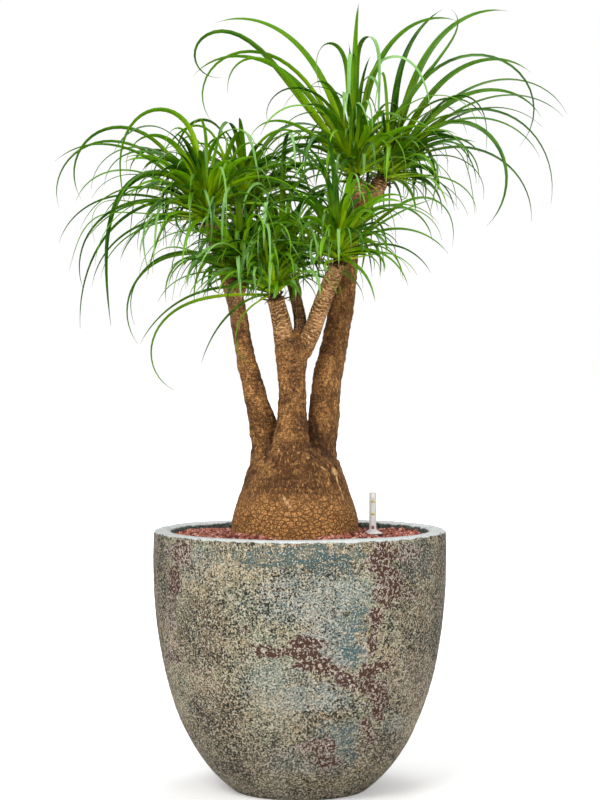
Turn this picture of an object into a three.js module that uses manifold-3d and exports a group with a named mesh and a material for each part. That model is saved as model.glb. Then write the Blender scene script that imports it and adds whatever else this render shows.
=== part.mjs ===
// A ponytail palm with three stems, standing in a rounded ceramic planter.
// Millimetres, +Z up, the viewer at -Y. The origin is the centre of the planter's flat base.
import * as THREE from 'three';
import { mergeVertices } from 'three/addons/utils/BufferGeometryUtils.js';
import Module from 'manifold-3d';

const wasm = await Module();
wasm.setup();

// ---- Driving dimensions ----

const GAP = 0.3; // clearance between pieces that touch on the real object
const FACET_ROOM = 1; // how far the flats of a faceted round wall come inside its radius
const DEGREE = Math.PI / 180;
const UP = new THREE.Vector3(0, 0, 1);

const PLANTER = {
  height: 380,
  radius: 215,
  widestHeight: 350,
  taperDepth: 378, // how far below the widest height the curve of the side would close
  squareness: 2.3, // exponent of the side's curve: 2 is an ellipse, more is squarer
  wall: 28,
  floor: 30,
  floorInset: 22, // how far the flat floor inside ends short of the wall above it
  segments: 32,
  outerHeights: [0, 10, 28, 58, 100, 155, 230], // where the outer wall's outline bends
  innerHeights: [56, 115, 210, 371], // where the inner wall's outline bends
  outerRound: 5, // radii of the two edges of the flat lip
  innerRound: 9,
  lipStep: 45, // degrees between the points of a rounded edge
};

const CULTURE_POT = {
  x: -5,
  y: -30,
  rimRadius: 108,
  footRadius: 94,
  rimHeight: 360,
  rimBand: 8,
  footHeight: 168,
  wall: 2.4,
  drainRadius: 22,
  segments: 20,
};

const DRESSING = {
  top: 372,
  thickness: 12,
  mound: 2.2, // height of the heaped granules above and below the mean level
  moundSpan: 58, // between mounds along X or Y, which leaves 41 between the nearest ones
  wander: [0.5, 0.7], // how strongly the rows of mounds wander along X and along Y
  heap: 7, // how much higher the granules lie against the caudex, to its left and right
  heapRadius: 95, // of the caudex where the granules meet it
  heapReach: 18, // how far from there the heap falls to about a third
  heapSides: [20, 42], // distance from the caudex's middle, along X, where the heap begins and is full
  backFall: 5, // how far the granules have sunk towards the back wall
  backFrom: [90, 150], // along Y
  innerRadius: 76, // of the ring round which the relief ends, hidden under the caudex
  segments: 48,
  rings: 6,
};

const CAUDEX = { x: -5, y: -30, sides: 24, knobs: 5, knobDepth: 0.012 };
// Height and radius of the swollen base, from its buried foot to the fork of the three stems.
const CAUDEX_PROFILE = [
  [262, 34],
  [276, 62],
  [300, 82],
  [335, 93],
  [372, 95],
  [396, 93],
  [411, 88.5],
  [440, 78],
  [469, 71.5],
  [496, 65],
  [516, 52],
  [530, 30],
];
const CAUDEX_LOBES = { count: 3, depth: 0.05, phase: 40, from: 430, full: 510 };

// Centre line of each limb as [x, y, z, radius]; the first point is buried in what it grows from.
const LIMBS = {
  stem_left: [
    [-44, -28, 470, 30],
    [-52, -24, 520, 24],
    [-57, -22, 545, 20.5],
    [-67, -18, 571, 17.6],
    [-80, -14, 630, 16.2],
    [-87, -12, 688, 15.8],
    [-95, -12, 718, 14],
    [-107, -14, 758, 12.6],
    [-121, -20, 800, 12],
    [-132, -26, 832, 11.5],
  ],
  branch_left_back: [
    [-97, -12, 722, 10],
    [-94, 18, 760, 10.6],
    [-88, 46, 806, 10.8],
    [-86, 58, 850, 11],
  ],
  branch_left_front: [
    [-93, -12, 706, 9],
    [-90, -36, 724, 9.2],
    [-85, -46, 738, 9.8],
    [-84, -49, 750, 10.4],
  ],
  stem_middle: [
    [-10, -48, 480, 32],
    [-12, -50, 530, 24],
    [-12, -50, 571, 21],
    [-12, -49, 605, 20.8],
    [-13, -48, 636, 23],
    [-11, -48, 668, 20],
  ],
  branch_middle_left: [
    [-20, -50, 640, 15],
    [-26, -54, 680, 14.2],
    [-32, -58, 706, 12.8],
    [-35, -62, 719, 13.4],
  ],
  branch_middle_back: [
    [-4, -44, 650, 13],
    [1, -38, 680, 9.6],
    [-5, -28, 716, 9],
    [-13, -14, 752, 9],
    [-18, -6, 768, 9.6],
  ],
  branch_middle_right: [
    [2, -48, 640, 14],
    [20, -52, 668, 11.6],
    [32, -58, 702, 11.2],
    [45, -66, 736, 11],
    [51, -71, 756, 11.4],
    [52, -73, 768, 12],
  ],
  stem_right: [
    [26, -22, 470, 34],
    [34, -16, 530, 26],
    [37, -12, 571, 23],
    [41, -6, 602, 21],
    [47, 2, 632, 20.4],
    [53, 10, 668, 19.4],
    [60, 18, 705, 19],
    [66, 26, 742, 18],
    [70, 32, 780, 16.5],
    [76, 36, 824, 16],
    [88, 38, 862, 18.5],
    [93, 38, 880, 19],
  ],
  branch_right_up: [
    [88, 36, 858, 14],
    [85, 30, 878, 13.4],
    [83, 24, 896, 13.4],
  ],
  branch_right_out: [
    [94, 40, 862, 14],
    [110, 46, 878, 13],
    [121, 50, 896, 13],
  ],
};
const LIMB = { sides: 9, step: 34, ridges: 3, ridgeDepth: 0.035 };

const GAUGE = {
  x: 107.8,
  y: 11,
  radius: 4.8,
  wall: 1,
  top: 433.5,
  foot: 122,
  collarRadius: 14.2,
  collarEdge: 2,
  collarHeight: 9,
  waterHole: 1.8, // radius of the opening in the foot
  footDepth: 2,
  capDepth: 3,
  capBevel: 1.5,
  sides: 12,
};
const FLOAT = {
  rodRadius: 1.3,
  bodyRadius: 3.1,
  bodyHeight: 34,
  shoulder: 3,
  tipRadius: 2.2,
  tipHeight: 4,
  tipLift: 7.5, // of the red tip's foot over the granules while the float is down
  sides: 8,
};

// The shoot in the middle of a head: the more upright a leaf, the nearer the top it is rooted.
const CORE = { baseRadius: 14, height: 54, sides: 6, rootsFrom: 0.2, rootsTo: 0.7 };
const BLADE = {
  steps: 48, // along the centre line that a blade follows
  shownSpans: 7,
  ruledSpans: 5,
  keel: 0.2, // depth of the keel as a share of the width
  thinnest: 1.1,
  turnWeight: 1.1, // how strongly the rings crowd where the leaf bends
};
const GOLDEN_ANGLE = 137.508;
const SEED = 2415;
const CLEARANCE = 0.45; // added round a blade while it is tried against its neighbours
const NUDGES = [0, 5, -5, 10, -10, 15, -15, 21, -21, 28, -28, 36, -36];

// The ruled leaves of each head, besides the ones that stand out: the ranges they are drawn from.
const RULED = {
  count: 26,
  lean: [10, 92], // from the shoot's heading, the inmost leaf to the outmost
  leanPower: 0.85,
  leanSpread: 12,
  lowestRise: -8,
  fall: [-58, -108],
  share: [0.72, 1.12], // of the head's reach
  width: [9, 14],
  roll: [-35, 35],
  drift: [-20, 20],
  foldedShare: 0.3,
  foldedBend: [6, 11],
  foldedPlace: [0.45, 0.8],
  archedBend: [1.3, 2.5],
  archedPlace: 2.5,
};

// Every head of leaves: the limb whose tip carries it, how far its leaves reach, and the leaves
// that stand out, each given as
// [turn about +Z from +X, rise at the root, fall at the tip, length, width, bend, fold place, roll].
const HEADS = [
  {
    name: 'head_left_outer',
    limb: 'stem_left',
    reach: 235,
    leaves: [
      [188, 48, -42, 268, 9, 2, 3, 40],
      [172, 60, -118, 325, 10, 3, 0.9, 55],
      [196, 87, -105, 342, 11, 4, 0.52, 50],
      [165, 52, -108, 330, 8, 2.2, 2, 50],
      [176, 22, -72, 262, 7, 1.9, 3, 40],
      [192, 24, -110, 272, 8, 1.5, 3, 50],
      [194, 52, -97, 345, 14, 3, 0.33, 60],
      [186, 38, -92, 302, 8, 1, 1, 45],
      [170, 4, -80, 215, 7, 1.6, 3, 40],
    ],
  },
  {
    name: 'head_left_back',
    limb: 'branch_left_back',
    reach: 225,
    leaves: [
      [150, 74, -85, 230, 12, 5, 0.7, 40],
      [20, 72, -60, 240, 11, 3, 0.8, 40],
    ],
  },
  {
    name: 'head_left_front',
    limb: 'branch_left_front',
    reach: 190,
    leaves: [
      [178, 28, -125, 262, 8, 1.5, 3, 45],
      [203, 26, -112, 238, 8, 1.7, 3, 45],
      [250, 80, -88, 215, 13, 7, 0.55, 15],
    ],
  },
  {
    name: 'head_middle_left',
    limb: 'branch_middle_left',
    reach: 190,
    leaves: [
      [190, 0, -150, 278, 9, 2.7, 1.3, 45],
      [178, 15, -62, 218, 8, 1.3, 3, 40],
      [215, -25, -165, 140, 8, 2, 3, 45],
      [198, 2, -72, 150, 8, 0.8, 3, 45],
      [262, 86, -86, 205, 13, 8, 0.6, 10],
    ],
  },
  {
    name: 'head_middle_back',
    limb: 'branch_middle_back',
    reach: 215,
    leaves: [
      [285, 87, -87, 260, 13, 9, 0.72, 15],
      [120, 70, -60, 240, 12, 3, 0.8, 30],
    ],
  },
  {
    name: 'head_middle_right',
    limb: 'branch_middle_right',
    reach: 195,
    leaves: [
      [-12, 38, -52, 175, 8, 1.5, 3, 45],
      [-8, 66, -82, 187, 9, 1.5, 3, 45],
      [8, 40, -98, 240, 9, 6, 0.75, 45],
      [-20, 36, 14, 158, 9, 2, 3, 45],
      [-25, 25, -72, 130, 7, 1.2, 3, 40],
      [-40, 0, -80, 95, 7, 1, 3, 40],
      [250, 86, 30, 170, 15, 3, 3, 10],
      [215, 84, 10, 165, 15, 3, 3, 25],
    ],
  },
  {
    name: 'head_right_upper',
    limb: 'branch_right_up',
    reach: 235,
    leaves: [
      [185, 53, -180, 400, 14, 7, 0.92, 60],
      [176, 65, -130, 392, 10, 3, 1.2, 55],
      [192, 54, -92, 294, 12, 8, 0.84, 55],
      [-50, 88, -93, 347, 14, 14, 0.56, 0],
      [-100, 88, -88, 295, 13, 16, 0.56, 0],
      [215, 86, -108, 275, 13, 10, 0.7, 25],
      [-15, 82, -82, 290, 12, 7, 0.62, 40],
      [4, 53, 140, 286, 13, 18, 1, 50],
      [250, 89, 66, 172, 15, 3, 3, 10],
      [-70, 80, 30, 165, 14, 3, 3, 15],
    ],
  },
  {
    name: 'head_right_outer',
    limb: 'branch_right_out',
    reach: 250,
    leaves: [
      [4, 55, -62, 342, 9, 2.2, 3, 45],
      [-12, 45, -46, 324, 8, 2.2, 3, 45],
      [-6, 82, -130, 418, 10, 1.9, 1.8, 50],
      [8, 52, -98, 377, 9, 2.2, 0.9, 50],
      [-18, 50, -64, 277, 8, 1.6, 3, 45],
      [15, 45, -42, 283, 7, 2.2, 3, 40],
      [-10, 35, -92, 286, 8, 1.5, 3, 45],
      [-35, 52, -140, 350, 12, 1.6, 2, 50],
      [-60, 84, 48, 170, 15, 3, 3, 20],
      [-30, 74, 30, 180, 14, 3, 3, 30],
    ],
  },
];

const COLOURS = {
  planter: 0x8f8f7e,
  granule: 0xa45c4c,
  clay: 0x9a6a4c,
  plastic: 0x2c2e30,
  gauge: 0xe4e8ea,
  float: 0xc43a28,
  bark: 0x946a42,
  leaf: 0x4f8a26,
};

// ---- Solids, joins and cuts ----

// A closed solid of a geometry, with shared vertices merged and triangles of no area left out.
function solidOf(geometry) {
  const bare = geometry.clone();
  bare.deleteAttribute('normal');
  bare.deleteAttribute('uv');
  const merged = mergeVertices(bare, 1e-3);
  const corners = [];
  for (let i = 0; i < merged.index.count; i += 3) {
    const [a, b, c] = [0, 1, 2].map((k) => merged.index.getX(i + k));
    if (a !== b && b !== c && c !== a) corners.push(a, b, c);
  }
  return new wasm.Manifold(new wasm.Mesh({
    numProp: 3,
    vertProperties: new Float32Array(merged.attributes.position.array),
    triVerts: new Uint32Array(corners),
  }));
}

function geometryOf(solid) {
  const mesh = solid.getMesh();
  const geometry = new THREE.BufferGeometry();
  geometry.setAttribute('position', new THREE.BufferAttribute(mesh.vertProperties, 3));
  geometry.setIndex(new THREE.BufferAttribute(mesh.triVerts, 1));
  geometry.computeVertexNormals();
  return geometry;
}

// The outer surface of a solid's largest body: a scrap is dropped, and a sealed hollow is filled.
function mainBody(solid) {
  const bodies = solidOf(geometryOf(solid)).decompose();
  return bodies.reduce((largest, body) => (body.volume() > largest.volume() ? body : largest));
}

// A solid turned about Z: the profile is a list of [radius, height] from the axis back to it.
function turned(profile, segments, x = 0, y = 0) {
  const points = profile.map(([radius, height]) => new THREE.Vector2(radius, height));
  const lathe = new THREE.LatheGeometry(points, segments);
  lathe.rotateX(Math.PI / 2);
  lathe.translate(x, y, 0);
  return solidOf(lathe);
}

// A closed solid through rings of points, which run anticlockwise about the way it goes.
// It starts with a flat cap, and ends with another or with a point.
function lofted(rings, point = null) {
  const sides = rings[0].length;
  const vertices = rings.flat();
  const triangles = [];
  for (let r = 0; r + 1 < rings.length; r += 1) {
    for (let i = 0; i < sides; i += 1) {
      const here = r * sides + i;
      const beside = r * sides + ((i + 1) % sides);
      triangles.push(here, beside, beside + sides, here, beside + sides, here + sides);
    }
  }
  const last = (rings.length - 1) * sides;
  for (let i = 1; i + 1 < sides; i += 1) {
    triangles.push(0, i + 1, i);
    if (!point) triangles.push(last, last + i, last + i + 1);
  }
  if (point) {
    vertices.push(point);
    for (let i = 0; i < sides; i += 1) {
      triangles.push(last + i, last + ((i + 1) % sides), vertices.length - 1);
    }
  }
  const geometry = new THREE.BufferGeometry().setFromPoints(vertices);
  geometry.setIndex(triangles);
  return solidOf(geometry);
}

const smooth = (edge0, edge1, value) => THREE.MathUtils.smoothstep(value, edge0, edge1);

// ---- Planter and what fills it ----

// Outer radius of the planter at a height.
function planterRadius(height) {
  const { radius, widestHeight, taperDepth, squareness } = PLANTER;
  const drop = Math.abs(widestHeight - height) / taperDepth;
  return radius * (1 - drop ** squareness) ** (1 / squareness);
}

const planterInside = (height) => planterRadius(height) - PLANTER.wall;

// Radius of the faceted inner wall at a height, and of the flat floor inside it.
function wallRadius(height) {
  const heights = PLANTER.innerHeights;
  const row = Math.max(1, heights.findIndex((bend) => bend >= height));
  const [low, high] = [heights[row - 1], heights[row]];
  return THREE.MathUtils.mapLinear(height, low, high, planterInside(low), planterInside(high));
}

const floorRadius = planterInside(PLANTER.innerHeights[0]) - PLANTER.floorInset;

function planter() {
  const { height, floor, segments, outerHeights, innerHeights } = PLANTER;
  const { outerRound, innerRound, lipStep } = PLANTER;
  const outside = [...outerHeights, height - outerRound];
  const profile = [[0, 0], ...outside.map((z) => [planterRadius(z), z])];
  const round = (centre, radius, angle) => {
    const turn = angle * DEGREE;
    profile.push([centre + radius * Math.cos(turn), height - radius + radius * Math.sin(turn)]);
  };
  const outerCentre = planterRadius(height - outerRound) - outerRound;
  const innerCentre = planterInside(height - innerRound) + innerRound;
  for (let angle = lipStep; angle <= 90; angle += lipStep) round(outerCentre, outerRound, angle);
  for (let angle = 90; angle < 180; angle += lipStep) round(innerCentre, innerRound, angle);
  const inside = innerHeights.toReversed().map((z) => [planterInside(z), z]);
  profile.push(...inside, [floorRadius, floor], [0, floor]);
  return turned(profile, segments);
}

const bedTop = DRESSING.top - DRESSING.thickness;

// Radius of the culture pot's outer wall at a height.
function potRadius(height) {
  const { rimRadius, footRadius, rimHeight, footHeight } = CULTURE_POT;
  return THREE.MathUtils.mapLinear(height, footHeight, rimHeight, footRadius, rimRadius);
}

function culturePot() {
  const { x, y, rimRadius, rimHeight, rimBand, footHeight, drainRadius, wall, segments } = CULTURE_POT;
  const floorTop = footHeight + wall;
  const bandFoot = rimHeight - rimBand;
  return turned([
    [drainRadius, footHeight],
    [potRadius(footHeight), footHeight],
    [potRadius(bandFoot), bandFoot],
    [rimRadius + wall, bandFoot],
    [rimRadius + wall, rimHeight],
    [rimRadius - wall, rimHeight],
    [potRadius(floorTop) - wall, floorTop],
    [drainRadius, floorTop],
    [drainRadius, footHeight],
  ], segments, x, y);
}

const collarSeat = DRESSING.top + GAP;

// The gauge's tube and collar with room round them, for the hole and the level seat they stand in.
function gaugeRoom() {
  const { x, y, radius, collarRadius, foot, top, sides } = GAUGE;
  const reach = radius + GAP;
  const collarReach = collarRadius + GAP;
  return turned([
    [0, foot - GAP],
    [reach, foot - GAP],
    [reach, DRESSING.top],
    [collarReach, DRESSING.top],
    [collarReach, top],
    [0, top],
  ], sides, x, y);
}

// The granules between the planter and the culture pot, with the pot's place left open.
function outerBed() {
  const { x, y, rimRadius, rimHeight, rimBand, footHeight, wall, segments } = CULTURE_POT;
  const { floor, innerHeights } = PLANTER;
  const clear = 2 * GAP;
  const heights = [...innerHeights.filter((z) => z < bedTop), bedTop];
  const side = heights.map((z) => [wallRadius(z) - clear, z]);
  const foot = [floorRadius - clear, floor + GAP];
  const body = turned([[0, floor + GAP], foot, ...side, [0, bedTop]], PLANTER.segments);
  const bandFoot = rimHeight - rimBand - GAP;
  const above = bedTop + GAP;
  const pocket = turned([
    [0, footHeight - GAP],
    [potRadius(footHeight) + GAP, footHeight - GAP],
    [potRadius(bandFoot) + GAP, bandFoot],
    [rimRadius + wall + GAP, bandFoot],
    [rimRadius + wall + GAP, above],
    [0, above],
  ], segments, x, y);
  return body.subtract(pocket).subtract(gaugeRoom());
}

// The granules that the roots grow in, inside the culture pot.
function rootingBed(caudexRoom) {
  const { x, y, rimHeight, rimRadius, footHeight, wall, segments } = CULTURE_POT;
  const floorTop = footHeight + wall + GAP;
  const body = turned([
    [0, floorTop],
    [potRadius(floorTop) - wall - GAP, floorTop],
    [rimRadius - wall - GAP, rimHeight],
    [0, rimHeight],
  ], segments, x, y);
  return body.subtract(caudexRoom);
}

// Height of the granules over their mean level: low mounds, one of them under the gauge, higher
// against the caudex and lower at the back.
function dressingRelief(x, y) {
  const { mound, moundSpan, wander, backFall, backFrom } = DRESSING;
  const { heap, heapRadius, heapReach, heapSides } = DRESSING;
  const along = ((x - GAUGE.x) * 2 * Math.PI) / moundSpan;
  const across = ((y - GAUGE.y) * 2 * Math.PI) / moundSpan;
  const lengthwise = Math.cos(along + Math.sin(across * wander[0]));
  const crosswise = Math.cos(across + Math.sin(along * wander[1]));
  const away = Math.hypot(x - CAUDEX.x, y - CAUDEX.y) - heapRadius;
  const nearness = Math.exp(-((Math.max(0, away) / heapReach) ** 2));
  const beside = smooth(...heapSides, Math.abs(x - CAUDEX.x));
  const sunk = backFall * smooth(...backFrom, y);
  return mound * lengthwise * crosswise + heap * nearness * beside - sunk;
}

// The red granules on top: a disc whose upper face is that relief.
function topDressing(caudexRoom) {
  const { top, innerRadius, segments, rings } = DRESSING;
  const outer = wallRadius(bedTop) - GAP - FACET_ROOM;
  const loops = [];
  for (let r = 0; r <= rings; r += 1) {
    const inwards = r / rings;
    const radius = THREE.MathUtils.lerp(outer, innerRadius, inwards);
    const loop = [];
    for (let i = 0; i < segments; i += 1) {
      const angle = ((i + (r % 2) / 2) / segments) * 2 * Math.PI;
      const x = radius * Math.cos(angle) + CAUDEX.x * inwards;
      const y = radius * Math.sin(angle) + CAUDEX.y * inwards;
      loop.push(new THREE.Vector3(x, y, top + dressingRelief(x, y)));
    }
    loops.push(loop);
  }
  const skirt = loops[0].map((point) => new THREE.Vector3(point.x, point.y, bedTop + GAP));
  return lofted([skirt, ...loops]).subtract(caudexRoom).subtract(gaugeRoom());
}

// ---- Gauge ----

function gaugeTube() {
  const { x, y, radius, wall, top, foot, footDepth, waterHole, sides } = GAUGE;
  const { collarRadius, collarEdge, collarHeight, capDepth, capBevel } = GAUGE;
  const inner = radius - wall;
  return turned([
    [waterHole, foot],
    [radius, foot],
    [radius, collarSeat],
    [collarRadius, collarSeat],
    [collarRadius, collarSeat + collarEdge],
    [radius + collarEdge, collarSeat + collarHeight],
    [radius, collarSeat + collarHeight],
    [radius, top - capBevel],
    [radius - capBevel, top],
    [0, top],
    [0, top - capDepth],
    [inner, top - capDepth],
    [inner, foot + footDepth],
    [waterHole, foot + footDepth],
    [waterHole, foot],
  ], sides, x, y);
}

// The float's foot rests at the lower end of its travel, with the red tip just above the collar.
function gaugeFloat() {
  const { x, y, foot, footDepth } = GAUGE;
  const { rodRadius, bodyRadius, bodyHeight, shoulder, tipRadius, tipHeight, tipLift, sides } = FLOAT;
  const low = foot + footDepth + GAP;
  const tip = DRESSING.top + tipLift;
  return turned([
    [0, low],
    [bodyRadius, low],
    [bodyRadius, low + bodyHeight],
    [rodRadius, low + bodyHeight + shoulder],
    [rodRadius, tip],
    [tipRadius, tip + 1],
    [tipRadius, tip + tipHeight],
    [0, tip + tipHeight + 1],
  ], sides, x, y);
}

// ---- Trunk ----

// The swollen base, grown outwards by a margin where its room is cut in the granules.
function caudex(margin = 0) {
  const { x, y, sides, knobs, knobDepth } = CAUDEX;
  const { count, depth, phase, from, full } = CAUDEX_LOBES;
  const rings = CAUDEX_PROFILE.map(([height, radius], row) => {
    const ring = [];
    for (let i = 0; i < sides; i += 1) {
      const angle = (i / sides) * 2 * Math.PI;
      const lobe = depth * smooth(from, full, height) * Math.cos(count * angle - phase * DEGREE);
      const knob = knobDepth * Math.sin(knobs * angle + row * 1.7);
      const reach = radius * (1 + lobe + knob) + margin;
      const z = row === 0 ? height - margin : height;
      ring.push(new THREE.Vector3(x + reach * Math.cos(angle), y + reach * Math.sin(angle), z));
    }
    return ring;
  });
  return lofted(rings);
}

const limbCurve = (points) => (
  new THREE.CatmullRomCurve3(points.map(([x, y, z]) => new THREE.Vector3(x, y, z))));

// A stem or branch swept along its centre line, with a flat end and a slightly uneven girth.
function limb(points) {
  const curve = limbCurve(points);
  const { sides, step, ridges, ridgeDepth } = LIMB;
  const rows = Math.max(2, Math.round(curve.getLength() / step));
  const frames = curve.computeFrenetFrames(rows, false);
  const rings = [];
  for (let row = 0; row <= rows; row += 1) {
    const centre = curve.getPointAt(row / rows);
    const along = curve.getUtoTmapping(row / rows) * (points.length - 1);
    const before = Math.min(points.length - 2, Math.floor(along));
    const radius = THREE.MathUtils.lerp(points[before][3], points[before + 1][3], along - before);
    const ring = [];
    for (let i = 0; i < sides; i += 1) {
      const angle = (i / sides) * 2 * Math.PI;
      const reach = radius * (1 + ridgeDepth * Math.sin(ridges * angle + row * 2.3));
      ring.push(centre.clone()
        .addScaledVector(frames.normals[row], reach * Math.cos(angle))
        .addScaledVector(frames.binormals[row], reach * Math.sin(angle)));
    }
    rings.push(ring);
  }
  return lofted(rings);
}

function trunk() {
  return wasm.Manifold.union([caudex(), ...Object.values(LIMBS).map(limb)]);
}

// ---- Leaves ----

// A repeatable draw of numbers from 0 to 1.
function drawsFrom(seed) {
  let state = seed;
  return () => {
    state = (state * 1664525 + 1013904223) % 4294967296;
    return state / 4294967296;
  };
}

// How much of its whole bend a leaf has made at a share s of its length.
function bent(s, bend, fold) {
  const rise = s ** bend;
  const half = fold ** bend;
  return (rise * (1 + half)) / (rise + half);
}

// Share of a blade's full width at a share of its length.
const bladeWidth = (s) => (0.35 + 0.65 * smooth(0, 0.12, s)) * (1 - 0.5 * s - 0.42 * s * s);

// Centre line of a leaf from its root: points, headings and the share of the length at each.
function leafLine(root, leaf) {
  const { steps } = BLADE;
  const point = root.clone();
  const line = [];
  for (let k = 0; k <= steps; k += 1) {
    const s = k / steps;
    const climb = (leaf.rise + (leaf.fall - leaf.rise) * bent(s, leaf.bend, leaf.fold)) * DEGREE;
    const turn = (leaf.turn + leaf.drift * s) * DEGREE;
    const heading = new THREE.Vector3(
      Math.cos(climb) * Math.cos(turn),
      Math.cos(climb) * Math.sin(turn),
      Math.sin(climb),
    );
    if (k > 0) point.addScaledVector(heading, leaf.length / steps);
    line.push({ point: point.clone(), heading, turn, s });
  }
  return line;
}

// The places along a leaf where its blade gets a ring: closer together where it bends more.
function ringPlaces(line, spans) {
  const measure = [0];
  for (let k = 1; k < line.length; k += 1) {
    const swing = line[k].heading.angleTo(line[k - 1].heading);
    measure.push(measure[k - 1] + 1 / (line.length - 1) + (BLADE.turnWeight * swing) / Math.PI);
  }
  const whole = measure[measure.length - 1];
  const places = [];
  for (let ring = 0; ring <= spans; ring += 1) {
    places.push(measure.findIndex((value) => value >= (whole * ring) / spans - 1e-9));
  }
  return places;
}

// A blade of triangular section, its keel underneath, ending in a point.
function blade(root, leaf, margin = 0) {
  const line = leafLine(root, leaf);
  const places = ringPlaces(line, leaf.spans);
  const rings = places.slice(0, -1).map((place) => {
    const { point, heading, turn, s } = line[place];
    const flatSide = new THREE.Vector3(Math.sin(turn), -Math.cos(turn), 0);
    const side = flatSide.applyAxisAngle(heading, leaf.roll * smooth(0, 0.35, s) * DEGREE);
    const up = new THREE.Vector3().crossVectors(side, heading);
    const half = (leaf.width * bladeWidth(s)) / 2 + margin;
    const keel = Math.max(BLADE.thinnest, 2 * half * BLADE.keel) + margin;
    return [
      point.clone().addScaledVector(up, keel / 2).addScaledVector(side, -half),
      point.clone().addScaledVector(up, keel / 2).addScaledVector(side, half),
      point.clone().addScaledVector(up, -keel / 2),
    ];
  });
  const end = line[line.length - 1];
  return lofted(rings, end.point.clone().addScaledVector(end.heading, margin));
}

// The short leafy shoot that the blades of a head stand out of.
function core(head) {
  const { baseRadius, height, sides } = CORE;
  const shoot = new THREE.LatheGeometry([
    new THREE.Vector2(0, 0),
    new THREE.Vector2(baseRadius, 0),
    new THREE.Vector2(baseRadius * 0.9, height * 0.5),
    new THREE.Vector2(0, height),
  ], sides);
  shoot.rotateX(Math.PI / 2);
  shoot.applyQuaternion(new THREE.Quaternion().setFromUnitVectors(UP, head.heading));
  const seat = head.foot.clone().addScaledVector(head.heading, GAP);
  shoot.translate(seat.x, seat.y, seat.z);
  return solidOf(shoot);
}

// Leaves by rule: upright in the middle of the head, lying outwards and drooping at its edge.
function ruledLeaves(head, draw) {
  const within = ([low, high]) => THREE.MathUtils.lerp(low, high, draw());
  const leaves = [];
  const across = new THREE.Vector3(0, 1, 0).cross(head.heading).normalize();
  const spin = within([0, 360]);
  for (let i = 0; i < RULED.count; i += 1) {
    const rank = ((i + 0.5) / RULED.count) ** RULED.leanPower;
    const spread = RULED.leanSpread * (draw() - 0.5);
    const lean = THREE.MathUtils.lerp(...RULED.lean, rank) + spread;
    const start = head.heading.clone().applyAxisAngle(across, lean * DEGREE)
      .applyAxisAngle(head.heading, (spin + i * GOLDEN_ANGLE) * DEGREE);
    const rise = Math.asin(THREE.MathUtils.clamp(start.z, -1, 1)) / DEGREE;
    const folded = draw() < RULED.foldedShare;
    leaves.push({
      turn: Math.atan2(start.y, start.x) / DEGREE,
      rise: Math.max(rise, RULED.lowestRise),
      fall: within(RULED.fall),
      length: head.reach * within(RULED.share),
      width: within(RULED.width),
      bend: within(folded ? RULED.foldedBend : RULED.archedBend),
      fold: folded ? within(RULED.foldedPlace) : RULED.archedPlace,
      roll: within(RULED.roll),
      drift: within(RULED.drift),
      spans: BLADE.ruledSpans,
    });
  }
  return leaves;
}

// Where on the shoot a leaf is rooted.
function rootOf(head, leaf) {
  const upright = THREE.MathUtils.clamp(leaf.rise / 90, 0, 1);
  const lift = CORE.height * THREE.MathUtils.lerp(CORE.rootsFrom, CORE.rootsTo, upright);
  return head.foot.clone().addScaledVector(head.heading, lift);
}

// Grows all heads together, a leaf from each in turn. A leaf that would cross another head or
// the trunk is bent clear of it, sideways step by step, and left out where nothing clears it.
function growHeads(trunkSolid) {
  const draw = drawsFrom(SEED);
  const heads = HEADS.map((given) => {
    const curve = limbCurve(LIMBS[given.limb]);
    return { ...given, foot: curve.getPointAt(1), heading: curve.getTangentAt(1) };
  });
  heads.forEach((head) => {
    head.solids = [core(head)];
    const shown = head.leaves.map(([turn, rise, fall, length, width, bend, fold, roll]) => (
      { turn, rise, fall, length, width, bend, fold, roll, drift: 0, spans: BLADE.shownSpans }));
    head.pending = [...shown, ...ruledLeaves(head, draw)];
  });
  const rounds = Math.max(...heads.map((head) => head.pending.length));
  for (let round = 0; round < rounds; round += 1) {
    heads.filter((head) => round < head.pending.length).forEach((head) => {
      const others = heads.filter((other) => other !== head).flatMap((other) => other.solids);
      const grown = grownClear(head, head.pending[round], [trunkSolid, ...others]);
      if (grown) head.solids.push(grown);
    });
  }
  return heads;
}

function boxesMeet(a, b) {
  return [0, 1, 2].every((k) => a.min[k] < b.max[k] && b.min[k] < a.max[k]);
}

function grownClear(head, leaf, others) {
  for (const nudge of NUDGES) {
    const tried = { ...leaf, turn: leaf.turn + nudge, drift: leaf.drift - nudge / 2 };
    const root = rootOf(head, tried);
    const room = blade(root, tried, CLEARANCE);
    const roomBox = room.boundingBox();
    const crossed = others.some((other) => (
      boxesMeet(roomBox, other.boundingBox()) && !room.intersect(other).isEmpty()));
    if (!crossed) return blade(root, tried);
  }
  return null;
}

// ---- The whole plant in its planter ----

function pieceOf(name, solid, colour, roughness, metalness = 0) {
  const material = new THREE.MeshStandardMaterial({ color: colour, roughness, metalness });
  const piece = new THREE.Mesh(geometryOf(solid), material);
  piece.name = name;
  return piece;
}

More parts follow.
